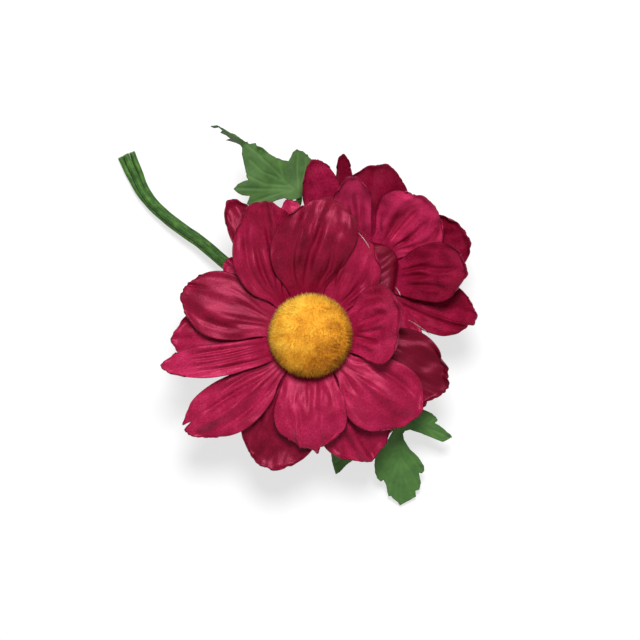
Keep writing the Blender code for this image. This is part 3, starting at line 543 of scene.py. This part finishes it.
def petal_point(petal, u, v, sector, start_radius, start_z, seed):
    """A point of a petal's upper face, a share u along it and v, from -1 to 1, across it.

    With it come how deep in a groove it is, how near the edge, its tone, which is painted shade or
    painted light, and its place on the cloth.
    """
    looks = petal.looks
    wobble = chance(v * 2.6 + seed * 7.1, seed * 3.3, 0.5)
    fray = chance(v * 9.0 + seed * 5.7, seed * 1.9, 2.5)
    tip = TIP_ROUND * v * v * u * u - petal.slant * v * u * u
    tip -= looks.get("ragged", 0.009) * (3.0 * wobble + fray) * u ** 3
    for place, depth, width in looks.get("notches", ()):
        tip += depth * bell((v - place) / width) * u ** 4
    radius, z, slope = midline(petal, u * (1 - tip), start_radius, start_z)
    reach = sector[0] if v < 0 else sector[1]
    opening = min(reach, math.radians(80))
    base = min(start_radius * math.sin(opening), petal.width / 2)
    half = half_width(petal, u, base)
    half *= 1 + 0.05 * chance(u * 3.0, seed * 4.1 + (5 if v < 0 else 0), 7.5) * u
    limit = radius * math.sin(opening * (1 - CUT_SHARE))
    if half > limit:
        half = limit + (half - limit) * smoothstep((u - FREE_FROM) / FREE_SPAN)
    cup = math.radians(petal.cup) * u
    across, up = half * v, 0.0
    if abs(cup) > 1e-4:
        across, up = half * math.sin(cup * v) / cup, half * (1 - math.cos(cup * v)) / cup
    rise = smoothstep(u / 0.3)
    along = u * petal.length
    height, groove = flutes(petal, u, v, half, seed)
    ripple = chance(along / (13 * MM), v * half / (3.4 * MM), seed * 9.7)
    crumple = chance(along / (4.5 * MM), v * half / (1.9 * MM), seed * 3.7)
    wave = abs(v) ** 3 * math.sin(u * 9 + seed * 2.3 + (2 if v < 0 else 0))
    up += FLUTE_DEPTH * height
    up += rise * (looks.get("wrinkle", 1.0) * WRINKLE * (ripple + 0.3 * crumple)
                  + looks.get("wave", 0.35) * MM * wave)
    rim = min((1 - abs(v)) * half, petal.length - along)
    turn = 0.6 + chance(math.atan2(v, u) * 2.2, seed * 6.1, 1.5)
    soft = smoothstep(looks.get("soft", 0) * v * 2 - 0.6)
    up += (looks.get("rim", 1.0) * RIM_TURN * turn * (1 - soft) - 0.8 * MM * soft) \
        * smoothstep(1 - rim / RIM_BAND) * rise
    for place, depth, width, start, end in looks.get("creases", ()):
        up += (depth * CREASE * bell((v - place) / width)
               * smoothstep((u - start) / 0.2) * smoothstep((end - u) / 0.2))
    local = Vector((radius - up * math.sin(slope), across, z + up * math.cos(slope)))
    formed = Matrix.Rotation(math.radians(petal.angle + petal.sweep * u), 3, "Z") @ local
    leave = smoothstep(u / BASE_BLEND)
    heading = math.radians(petal.angle) + v * reach * (1 - 2 * CUT_SHARE * leave)
    on_disc = Vector((radius * math.cos(heading), radius * math.sin(heading), z))
    edge = smoothstep(1 - rim / SEALED_BAND) * (1 - soft) if u > 0.1 else 0.0
    # tone is painted shade or painted light, spread over the whole petal
    return on_disc.lerp(formed, leave), groove, edge, looks.get("tone", 0.0) * rise, (v * half, along)


def sectors(ring):
    """The half angles of disc that each petal has on either side, out to the cut beside it."""
    cuts = []
    for k, petal in enumerate(ring):
        gap = (ring[(k + 1) % len(ring)].angle - petal.angle) % 360
        cuts.append(petal.angle + gap / 2 if petal.cut is None else petal.cut)
    return [(math.radians((petal.angle - cuts[k - 1]) % 360), math.radians((cuts[k] - petal.angle) % 360))
            for k, petal in enumerate(ring)]


def cloth_mesh(name, ring, base_z, cloth, disc_radius, grid, matrix, seed):
    """The upper face of a die-cut ring of the part.

    Vertices carry "groove", "edge" and "tone", tone being painted shade or painted light on the whole
    petal, and the UV map "cloth" is in metres across and along each petal, where the weave runs.
    """
    rows, columns = grid
    top_z = base_z + cloth
    hole = PEG_RADIUS + SEAT_GAP
    reach = sectors(ring)
    bm = bmesh.new()
    groove_layer, edge_layer, painted_light_and_shade_layer, across_layer, along_layer = (
        bm.verts.layers.float.new(each) for each in ("groove", "edge", "tone", "across", "along"))

    def vertex(point, groove, edge, tone, cloth_at):
        made = bm.verts.new(point)
        made[groove_layer], made[edge_layer], made[painted_light_and_shade_layer] = groove, edge, tone
        made[across_layer], made[along_layer] = cloth_at
        return made

    feet, spokes = [], []
    for petal, sector in zip(ring, reach):
        foot = []
        for j in range(columns):
            v = -1 + 2 * j / columns
            turn = math.radians(petal.angle) + v * (sector[0] if v < 0 else sector[1])
            direction = Vector((math.cos(turn), math.sin(turn), 0))
            spoke = []
            for i in range(RINGS_IN + 1):
                radius = hole + (disc_radius - hole) * i / RINGS_IN
                spoke.append(vertex(direction * radius + Vector((0, 0, top_z)), 0.0, 0.0, 0.0,
                                    (turn * radius, radius - disc_radius)))
            spokes.append(spoke)
            foot.append(spoke[-1])
        feet.append(foot)
    for here, after in zip(spokes, spokes[1:] + spokes[:1]):
        for i in range(RINGS_IN):
            bm.faces.new((here[i], here[i + 1], after[i + 1], after[i]))
    for k, (petal, sector) in enumerate(zip(ring, reach)):
        row = feet[k] + [feet[(k + 1) % len(ring)][0]]
        for i in range(1, rows + 1):
            above = [vertex(*petal_point(petal, i / rows, -1 + 2 * j / columns, sector, disc_radius, top_z,
                                         seed + k)) for j in range(columns + 1)]
            for j in range(columns):
                bm.faces.new((row[j], above[j], above[j + 1], row[j + 1]))
            row = above
    bm.normal_update()
    bm.transform(matrix)
    uv = bm.loops.layers.uv.new("cloth")
    for face in bm.faces:
        for loop in face.loops:
            loop[uv].uv = (loop.vert[across_layer], loop.vert[along_layer])
    return as_mesh(bm, name)


def off_line(point, line):
    """How far a place is from a line through several points."""
    nearest = 1.0
    for start, end in zip(line, line[1:]):
        along = end - start
        share = min(1.0, max(0.0, (point - start).dot(along) / along.length_squared))
        nearest = min(nearest, (point - start - along * share).length)
    return nearest


def inside(point, outline):
    crossings = 0
    for a, b in zip(outline, outline[1:] + outline[:1]):
        if (a.y > point.y) != (b.y > point.y):
            crossings += point.x < a.x + (point.y - a.y) * (b.x - a.x) / (b.y - a.y)
    return crossings % 2 == 1


def leaf_mesh(leaf):
    """A leaf's cloth cut to its outline, with pressed veins, soft waves and what is turned on edge.

    Its rolled line is where a narrow lobe turns on edge, and its pocket is pressed down.
    """
    corners = in_mm(*leaf.outline)
    rim = []
    for start, end in zip(corners, corners[1:] + corners[:1]):
        steps = max(1, round((end - start).length / (0.45 * MM)))
        for k in range(steps):
            at = start.lerp(end, k / steps)
            rim.append(at + 0.09 * MM * noise.noise_vector(Vector((at.x, at.y, 0)) / (0.7 * MM)).xy)
    lines = [in_mm(*vein) for vein in leaf.veins]
    places = list(rim)
    low = Vector((min(p.x for p in rim), min(p.y for p in rim)))
    high = Vector((max(p.x for p in rim), max(p.y for p in rim)))
    for row in range(int((high.y - low.y) / (0.87 * LEAF_STEP)) + 1):
        for column in range(int((high.x - low.x) / LEAF_STEP) + 1):
            at = low + Vector(((column + 0.5 * (row % 2)) * LEAF_STEP, row * 0.87 * LEAF_STEP))
            if inside(at, rim):
                places.append(at)
    cut = delaunay_2d_cdt(places, [], [list(range(len(rim)))], 1, 1e-7)
    bm = bmesh.new()
    groove_layer, edge_layer = (bm.verts.layers.float.new(each) for each in ("groove", "edge"))
    closed = rim + rim[:1]
    pressed = Vector(leaf.pocket[:2]) * MM
    made = []
    for at in cut[0]:
        out = max(0.0, at.length - leaf.palm_radius)
        slope = math.radians(leaf.lobe.lift + 0.5 * leaf.lobe.bend * out / leaf.lobe.length)
        z = LEAF_CLOTH + math.tan(slope) * out
        vein = max(bell(off_line(at, line) / VEIN_WIDTH) for line in lines)
        wave = chance(at.x / (6 * MM), at.y / (6 * MM), leaf.seed)
        z += smoothstep(at.length / (6 * MM)) * (0.9 * MM * wave - VEIN_DEPTH * vein)
        z -= leaf.pocket[2] * MM * bell((at - pressed).length / (1.1 * MM))
        if leaf.rolled:
            start, end = in_mm(*leaf.rolled)
            along = (end - start).normalized()
            side = along.x * (at - start).y - along.y * (at - start).x
            turn = smoothstep((at - start).dot(along) / (4 * MM)) * smoothstep(2 - abs(side) / (2 * MM))
            z += turn * max(-3.0 * MM, min(3.0 * MM, -3.4 * side))
        vert = bm.verts.new((at.x, at.y, z))
        vert[groove_layer] = vein
        vert[edge_layer] = smoothstep(1 - off_line(at, closed) / (0.3 * MM))
        made.append(vert)
    uv = bm.loops.layers.uv.new("cloth")
    for corners_of in cut[2]:
        face = bm.faces.new([made[k] for k in corners_of])
        for loop in face.loops:
            loop[uv].uv = loop.vert.co.xy
    bm.normal_update()
    bm.transform(leaning(leaf.place, -leaf.tip, leaf.tip_towards))
    return as_mesh(bm, leaf.name)


def baked(obj):
    """The object's mesh with its modifiers applied, and the object gone."""
    bpy.context.view_layer.update()
    mesh = bpy.data.meshes.new_from_object(obj.evaluated_get(bpy.context.evaluated_depsgraph_get()))
    bpy.data.objects.remove(obj, do_unlink=True)
    return mesh


def thick(mesh, cloth):
    """Give a surface at the top face of the part's cloth a thinner body in the middle of that cloth."""
    maker = in_scene("maker", mesh)
    shift = maker.modifiers.new("middle", "DISPLACE")
    shift.strength = -(cloth - CLOTH_SEEN) / 2
    shift.mid_level = 0.0
    shell = maker.modifiers.new("cloth", "SOLIDIFY")
    shell.thickness = CLOTH_SEEN
    shell.offset = -1
    return baked(maker)


def curve_through(points, per_span):
    ends = [2 * points[0] - points[1]] + list(points) + [2 * points[-1] - points[-2]]
    found = []
    for a, b, c, d in zip(ends, ends[1:], ends[2:], ends[3:]):
        for k in range(per_span):
            t = k / per_span
            found.append(0.5 * ((2 * b) + (c - a) * t + (2 * a - 5 * b + 4 * c - d) * t ** 2
                                + (3 * b - a - 3 * c + d) * t ** 3))
    return found + [points[-1].copy()]


# ---------------------------------------------------------------- daisies


def ball_surface(flower):
    """The part's domed ball as a fine mesh, drawn in by half a fibre so the flock fills its outline."""
    inset = 0.85 * FIBRE_LENGTH
    foot_z = RING_SPACING + PETAL_CLOTH + SEAT_GAP
    middle_z = foot_z + 0.42 * flower.ball_height
    foot_angle = math.acos(flower.ball_foot / flower.ball_radius)
    profile = []
    for k in range(13):
        a = -foot_angle * (1 - k / 12)
        share = math.sin(a) / math.sin(foot_angle)
        profile.append(((flower.ball_radius - inset) * math.cos(a),
                        middle_z + (middle_z - foot_z - 0.1 * MM) * share))
    for k in range(1, 25):
        a = math.pi / 2 * k / 24
        profile.append(((flower.ball_radius - inset) * math.cos(a),
                        middle_z + (foot_z + flower.ball_height - inset - middle_z) * math.sin(a)))
    segments = 72
    bm = bmesh.new()
    rings = []
    for radius, z in profile[:-1]:
        ring = []
        for j in range(segments):
            a = 2 * math.pi * j / segments
            point = Vector((radius * math.cos(a), radius * math.sin(a), z))
            ring.append(bm.verts.new(point * (1 + 0.012 * noise.noise(point / (3 * MM)))))
        rings.append(ring)
    crown = bm.verts.new((0, 0, profile[-1][1]))
    skin(bm, rings)
    for j in range(segments):
        bm.faces.new((rings[-1][j], rings[-1][(j + 1) % segments], crown))
    bm.faces.new(list(reversed(rings[0])))
    bmesh.ops.recalc_face_normals(bm, faces=bm.faces)
    return as_mesh(bm, f"{flower.name}_ball")


def flock_tree():
    """Geometry Nodes that stand fibres on a surface, combed by slow noise, and join them to it."""
    tree = bpy.data.node_groups.new("flocked", "GeometryNodeTree")
    for name, kind in (("Geometry", "Geometry"), ("Density", "Float"), ("Fibre length", "Float"),
                       ("Fibre radius", "Float"), ("Seed", "Int"), ("Finish", "Material")):
        tree.interface.new_socket(name, in_out="INPUT", socket_type=f"NodeSocket{kind}")
    tree.interface.new_socket("Geometry", in_out="OUTPUT", socket_type="NodeSocketGeometry")
    given = tree.nodes.new("NodeGroupInput").outputs
    points = node(tree, "GeometryNodeDistributePointsOnFaces",
                  {"Mesh": given["Geometry"], "Density": given["Density"], "Seed": given["Seed"]}, "Points")
    fibre = node(tree, "GeometryNodeMeshCone",
                 {"Vertices": 3, "Radius Top": 0.0, "Radius Bottom": given["Fibre radius"],
                  "Depth": given["Fibre length"]}, "Mesh", fill_type="NONE")
    at = node(tree, "GeometryNodeInputPosition")
    comb = node(tree, "TexNoise", {"Vector": at, "Scale": 1 / (3.2 * MM)}, "Color")
    centred = node(tree, "VectorMath", {0: comb, 1: (0.5, 0.5, 0.5)}, operation="SUBTRACT")
    jitter = node(tree, "FunctionNodeRandomValue", {0: (-0.35, -0.35, -0.35), 1: (0.35, 0.35, 0.35),
                                                    "Seed": given["Seed"]}, data_type="FLOAT_VECTOR")
    swing = node(tree, "VectorMath", {0: centred, "Scale": 1.9}, operation="SCALE")
    lean = node(tree, "VectorMath", {0: points.node.outputs["Normal"], 1: swing}, operation="ADD")
    lean = node(tree, "VectorMath", {0: lean, 1: jitter}, operation="ADD")
    turn = node(tree, "FunctionNodeAlignRotationToVector", {"Vector": lean}, axis="Z")
    size = node(tree, "FunctionNodeRandomValue", {2: 0.65, 3: 1.15, "Seed": given["Seed"]}, 1,
                data_type="FLOAT")
    placed = node(tree, "GeometryNodeInstanceOnPoints",
                  {"Points": points, "Instance": fibre, "Rotation": turn, "Scale": size})
    real = node(tree, "GeometryNodeRealizeInstances", {"Geometry": placed})
    joined = node(tree, "GeometryNodeJoinGeometry", {0: given["Geometry"]})
    tree.links.new(real, joined.node.inputs[0])
    done = node(tree, "GeometryNodeSetMaterial", {"Geometry": joined, "Material": given["Finish"]})
    node(tree, "NodeGroupOutput", {0: done})
    return tree


def flocked_ball(flower, tree, finish, density, seed):
    """A daisy's centre: the part's ball with the tree's fibres on it."""
    maker = in_scene("maker", ball_surface(flower))
    maker.data.materials.append(finish)
    step = maker.modifiers.new("flock", "NODES")
    step.node_group = tree
    values = {"Density": density, "Fibre length": FIBRE_LENGTH, "Fibre radius": FIBRE_RADIUS,
              "Seed": seed, "Finish": finish}
    for item in tree.interface.items_tree:
        if item.item_type == "SOCKET" and item.in_out == "INPUT" and item.name in values:
            step[item.identifier] = values[item.name]
    maker.update_tag()
    mesh = baked(maker)
    mesh.transform(leaning(flower.place, flower.lean, flower.lean_towards))
    made = add_piece(f"{flower.name}_centre_look", mesh, finish, (f"{flower.name}_centre",))


def daisy(flower, upper, lower, seed, petal_finish, sepal_finish):
    """A daisy's two petal rings and its sepals."""
    matrix = leaning(flower.place, flower.lean, flower.lean_towards)
    for part, ring, base_z, cloth, disc_radius, grid, offset, finish, slot in (
            ("upper_petals", upper, RING_SPACING, PETAL_CLOTH, DISC_RADIUS, PETAL_GRID, 0,
             petal_finish, "petal_satin"),
            ("lower_petals", lower, 0.0, PETAL_CLOTH, DISC_RADIUS, PETAL_GRID, 20,
             petal_finish, "petal_satin"),
            ("sepals", SEPALS, -SEAT_GAP - SEPAL_CLOTH, SEPAL_CLOTH, SEPAL_DISC_RADIUS, SEPAL_GRID, 40,
             sepal_finish, "leaf_cloth")):
        name = f"{flower.name}_{part}"
        mesh = cloth_mesh(name, ring, base_z, cloth, disc_radius, grid, matrix, seed + offset)
        add_piece(f"{name}_look", thick(mesh, cloth), finish, (name,))


# ---------------------------------------------------------------- stems


def wrapped_stem(name, path, finish):
    """A wire wound in tape: a round rod with slight flats and the ridge of the winding."""
    points = curve_through(path, 14)
    sides = 14
    bm = bmesh.new()
    cut_layer = bm.verts.layers.float.new("cut")
    uv = bm.loops.layers.uv.new("cloth")
    side = (points[1] - points[0]).orthogonal().normalized()
    rings, runs, run = [], [], 0.0
    for k, point in enumerate(points):
        if k:
            run += (point - points[k - 1]).length
        ahead = (points[min(k + 1, len(points) - 1)] - points[max(k - 1, 0)]).normalized()
        side = (side - ahead * side.dot(ahead)).normalized()
        other = ahead.cross(side)
        ring = []
        for j in range(sides):
            a = 2 * math.pi * j / sides
            winding = 0.035 * math.cos(a - run / (1.1 * MM)) \
                + 0.03 * noise.noise(point / (1.5 * MM) + Vector((j, 0, 0)))
            reach = STEM_RADIUS * (1.1 + winding)
            ring.append(bm.verts.new(point + reach * (math.cos(a) * side + math.sin(a) * other)))
        rings.append(ring)
        runs.append(run)
    for k in range(len(rings) - 1):
        for j in range(sides):
            after = (j + 1) % sides
            face = bm.faces.new((rings[k][j], rings[k][after], rings[k + 1][after], rings[k + 1][j]))
            for loop, column, at in zip(face.loops, (j, j + 1, j + 1, j), (k, k, k + 1, k + 1)):
                loop[uv].uv = (column / sides * 2 * math.pi * STEM_RADIUS, runs[at])
    for ring, facing in ((rings[0], True), (rings[-1], False)):
        middle = [bm.verts.new(v.co) for v in ring]
        for v in middle:
            v[cut_layer] = 1.0
        bm.faces.new(list(reversed(middle)) if facing else middle)
    bmesh.ops.remove_doubles(bm, verts=bm.verts, dist=1e-7)
    bmesh.ops.recalc_face_normals(bm, faces=bm.faces)
    made = add_piece(f"{name}_look", as_mesh(bm, name), finish, (name,))
    made.data.set_sharp_from_angle(angle=math.radians(50))


def bunch_path(side, height):
    """A stem's run in the bunch, set off from its middle to one side and upwards."""
    found = []
    for k, point in enumerate(BUNCH):
        ahead = BUNCH[min(k + 1, len(BUNCH) - 1)] - BUNCH[max(k - 1, 0)]
        across = Vector((-ahead.y, ahead.x, 0)).normalized()
        apart = 1 + SPLAY * smoothstep((k - 4) / 3)
        found.append(point + across * side * apart + Vector((0, 0, height)))
    return found


def under_leaf(leaf, rib_share):
    """The run of the wire glued under a leaf, from partway along its middle lobe back to its palm."""
    sink = LEAF_CLOTH + SEAT_GAP + STEM_RADIUS
    heading = math.radians(leaf.lobe.angle)
    matrix = leaning(leaf.place, -leaf.tip, leaf.tip_towards)
    run = []
    for share in (rib_share, rib_share / 2, 0):
        radius, z, slope = midline(leaf.lobe, share, leaf.palm_radius, LEAF_CLOTH)
        radius += sink * math.sin(slope)
        run.append(matrix @ Vector((radius * math.cos(heading), radius * math.sin(heading),
                                    z - sink * math.cos(slope))))
    return run + [matrix @ Vector((0, 0, LEAF_CLOTH - sink))]


def stem_paths():
    """The four stems' runs, as in the part."""
    mouth = 2 * SEAT_GAP + SEPAL_CLOTH + CALYX_DEPTH
    front, back = (leaning(f.place, f.lean, f.lean_towards) for f in (FRONT, BACK))
    socket = Vector((0, 0, SOCKET_DEPTH - SEAT_GAP - mouth))
    return {
        "front_stem": [front @ socket, front @ Vector((0, 0, -0.5 * MM - mouth))]
        + in_mm((-7.8, -9.4, 17.0), (-10.0, -6.0, 12.2), (-15.5, -1.4, 10.9))
        + bunch_path(BUNCH_SIDE, 0),
        "back_stem": [back @ socket, back @ Vector((0, 0, -0.3 * MM - mouth))]
        + in_mm((5.6, 6.3, 11.1), (1.0, 5.8, 10.9), (-12.0, 4.8, 10.9))
        + bunch_path(-BUNCH_SIDE, 0),
        "left_leaf_stem": under_leaf(LEFT_LEAF, 0.3)
        + in_mm((-14.0, 23.6, 19.2), (-19.6, 16.0, 15.4), (-27.0, 9.4, 12.6))
        + bunch_path(0, BUNCH_TOP)[1:],
        "right_leaf_stem": under_leaf(RIGHT_LEAF, 0.4)
        + in_mm((15.0, -26.0, 16.6), (9.0, -16.0, 12.4), (3.0, -8.4, 10.9), (-3.0, -3.4, 10.9)),
    }


# ---------------------------------------------------------------- clip, felt and glue


def rounded_edges(piece, width, segments, least_angle=30):
    edges = piece.modifiers.new("edges", "BEVEL")
    edges.width = width
    edges.segments = segments
    edges.limit_method = "ANGLE"
    edges.angle_limit = math.radians(least_angle)
    return edges


def refinish(name, finish, bevel=0.0):
    """Keep a CAD node's mesh, round its edges and give it its finish."""
    piece = bpy.data.objects[name]
    piece.data.materials.clear()
    piece.data.materials.append(finish)
    if bevel:
        rounded_edges(piece, bevel, 2, 40).harden_normals = True


def felt_look(finish):
    """The pad's cut outline with its edges rounded."""
    maker = in_scene("maker", bpy.data.objects["felt_pad"].data.copy())
    rounded_edges(maker, 0.35 * MM, 3)
    add_piece("felt_pad_look", baked(maker), finish, ("felt_pad",))


def wound_spring(finish):
    """The spring's wire from the part's mesh, with its doubled vertices merged, kept unattached to the
    body.
    """
    bm = bmesh.new()
    bm.from_mesh(bpy.data.objects["torsion_spring"].data)
    bmesh.ops.remove_doubles(bm, verts=bm.verts, dist=1e-7)
    add_piece("torsion_spring_look", as_mesh(bm, "torsion_spring"), finish, ("torsion_spring",),
              (HINGE - COIL_REACH, HINGE + COIL_REACH))


def glue_threads(finish):
    """Stray strings of hot glue, drawn thin as it set, that lie across the petals."""
    bm = bmesh.new()
    depsgraph = bpy.context.evaluated_depsgraph_get()
    for start, end in GLUE_THREADS:
        points = []
        for k in range(13):
            at = Vector(start).lerp(Vector(end), k / 12) * MM
            over = Vector((at.x + 0.25 * MM * math.sin(k / 12 * math.pi), at.y, 60 * MM))
            place = bpy.context.scene.ray_cast(depsgraph, over, Vector((0, 0, -1)))[1]
            least = points[-1].z - 0.4 * MM if points else 0
            points.append(Vector((over.x, over.y, max(place.z, least))))
        for _ in range(2):
            points = [points[0]] + [Vector((b.x, b.y, max(b.z, (a.z + c.z) / 2)))
                                    for a, b, c in zip(points, points[1:], points[2:])] + [points[-1]]
        rings = []
        for k, point in enumerate(points):
            thin = THREAD_RADIUS * (0.35 + 0.65 * math.sin(math.pi * (k + 0.5) / 13))
            rings.append([bm.verts.new(point + Vector((thin * math.cos(a), thin * math.sin(a) * 0.7,
                                                       THREAD_RADIUS * (1.2 + math.sin(a + 0.8)))))
                          for a in (math.pi * j / 3 for j in range(6))])
        skin(bm, rings)
        bm.faces.new(rings[0])
        bm.faces.new(rings[-1])
    bmesh.ops.recalc_face_normals(bm, faces=bm.faces)
    add_piece("glue_threads", as_mesh(bm, "glue_threads"), finish, ())


# ---------------------------------------------------------------- the model

burgundy_satin = satin_cloth("burgundy polyester satin", "#5c0419", "#800f2d", "#9e1840", "#c52e5c")
leaf_poplin = leaf_cloth("green polyester poplin", "#355728", "#43692e", "#527839")
# The right leaf's lighter copy of the poplin is painted light, for a leaf tilted away from the lamp.
painted_light_poplin = leaf_cloth("light green polyester poplin", "#437033", "#52833b", "#628f47")
yellow_flock = flock("yellow nylon flock")
green_wrap = stem_wrap("green floral tape over wire")
bright_steel = plated_metal("nickel-plated steel strip", "#c9c9cc", 0.26)
spring_wire = plated_metal("music wire", "#a3a3a8", 0.34)
green_felt = felt_cloth("green acrylic felt")
milky_glue = set_glue("hot-melt glue")
green_plastic = moulded_plastic("green polyethylene moulding")

daisy(FRONT, FRONT_UPPER, FRONT_LOWER, 3, burgundy_satin, leaf_poplin)
daisy(BACK, BACK_UPPER, BACK_LOWER, 80, burgundy_satin, leaf_poplin)
# the right leaf takes the lighter poplin as painted light
for leaf, poplin in ((LEFT_LEAF, leaf_poplin), (RIGHT_LEAF, painted_light_poplin)):
    add_piece(f"{leaf.name}_look", thick(leaf_mesh(leaf), LEAF_CLOTH), poplin, (leaf.name,))

flocked = flock_tree()
flocked_ball(FRONT, flocked, yellow_flock, 1.0e7, 5)
flocked_ball(BACK, flocked, yellow_flock, 0.8e7, 6)

for name, path in stem_paths().items():
    wrapped_stem(name, path, green_wrap)

for name, finish, bevel in (
        ("front_calyx", green_plastic, 0.0), ("back_calyx", green_plastic, 0.0),
        ("upper_plate", bright_steel, 0.12 * MM), ("toothed_prong", bright_steel, 0.1 * MM),
        ("hinge_pin", bright_steel, 0.1 * MM), ("glue_mound", milky_glue, 0.3 * MM)):
    refinish(name, finish, bevel)
wound_spring(spring_wire)
felt_look(green_felt)
glue_threads(milky_glue)

# ---------------------------------------------------------------- floor, light and camera

CAMERA = Vector((-4.5, -6.0, 900)) * MM      # straight above, as in the photo
PICTURE_WIDTH = 0.192                        # what the picture is across, at 0.875 m from the camera


def stage():
    """A floor of white paper that keeps the shadow and shows white to the camera."""
    bm = bmesh.new()
    bmesh.ops.create_grid(bm, x_segments=1, y_segments=1, size=1.5)
    floor = in_scene("floor", as_mesh(bm, "floor"))
    floor.location.z = -0.2 * MM
    made, tree, place = new_material("white paper")
    tooth = node(tree, "TexNoise", {"Vector": place, "Scale": 1 / (0.6 * MM)})
    relief = node(tree, "Bump", {"Strength": 0.1, "Distance": 0.05 * MM, "Height": tooth})
    paper = node(tree, "BsdfPrincipled", {
        "Base Color": (0.93, 0.93, 0.93, 1.0), "Roughness": 0.9, "Specular IOR Level": 0.1,
        "Normal": relief})
    glow = node(tree, "Emission", {"Color": (1.0, 1.0, 1.0, 1.0), "Strength": 1.13})
    camera_ray = node(tree, "LightPath", out="Is Camera Ray")
    share = node(tree, "Math", {0: camera_ray, 1: 0.6}, operation="MULTIPLY")
    both = node(tree, "MixShader", {0: share, 1: paper, 2: glow})
    node(tree, "OutputMaterial", {"Surface": both})
    floor.data.materials.append(made)


def area_light(name, place, size, watts):
    lamp = bpy.data.lights.new(name, "AREA")
    lamp.shape = "DISK"
    lamp.size = size
    lamp.energy = watts
    made = in_scene(name, lamp)
    made.location = place
    made.rotation_euler = (-Vector(place)).to_track_quat("-Z", "Y").to_euler()


def world_light(strength):
    """Even light on the object, behind which the camera, metal and glass see white."""
    world = bpy.data.worlds.new("studio")
    bpy.context.scene.world = world
    world.use_nodes = True
    tree = world.node_tree
    tree.nodes.clear()
    seen = node(tree, "LightPath", out="Is Camera Ray")
    for ray in ("Is Glossy Ray", "Is Transmission Ray"):
        seen = node(tree, "Math", {0: seen, 1: node(tree, "LightPath", out=ray)},
                    operation="MAXIMUM")
    level = node(tree, "Math", {0: seen, 1: 1.0 - strength, 2: strength},
                 operation="MULTIPLY_ADD")
    back = node(tree, "Background", {"Color": (1.0, 1.0, 1.0, 1.0), "Strength": level})
    node(tree, "OutputWorld", {"Surface": back})


stage()
world_light(0.22)
area_light("key", (0.01, 0.21, 0.64), 0.2, 4.2)

camera = in_scene("camera", bpy.data.cameras.new("camera"))
camera.location = CAMERA
camera.data.sensor_width = 36
camera.data.lens = 36 * 0.875 / PICTURE_WIDTH
camera.data.clip_start = 0.05
bpy.context.scene.camera = camera
bpy.context.scene.view_settings.view_transform = "Standard"
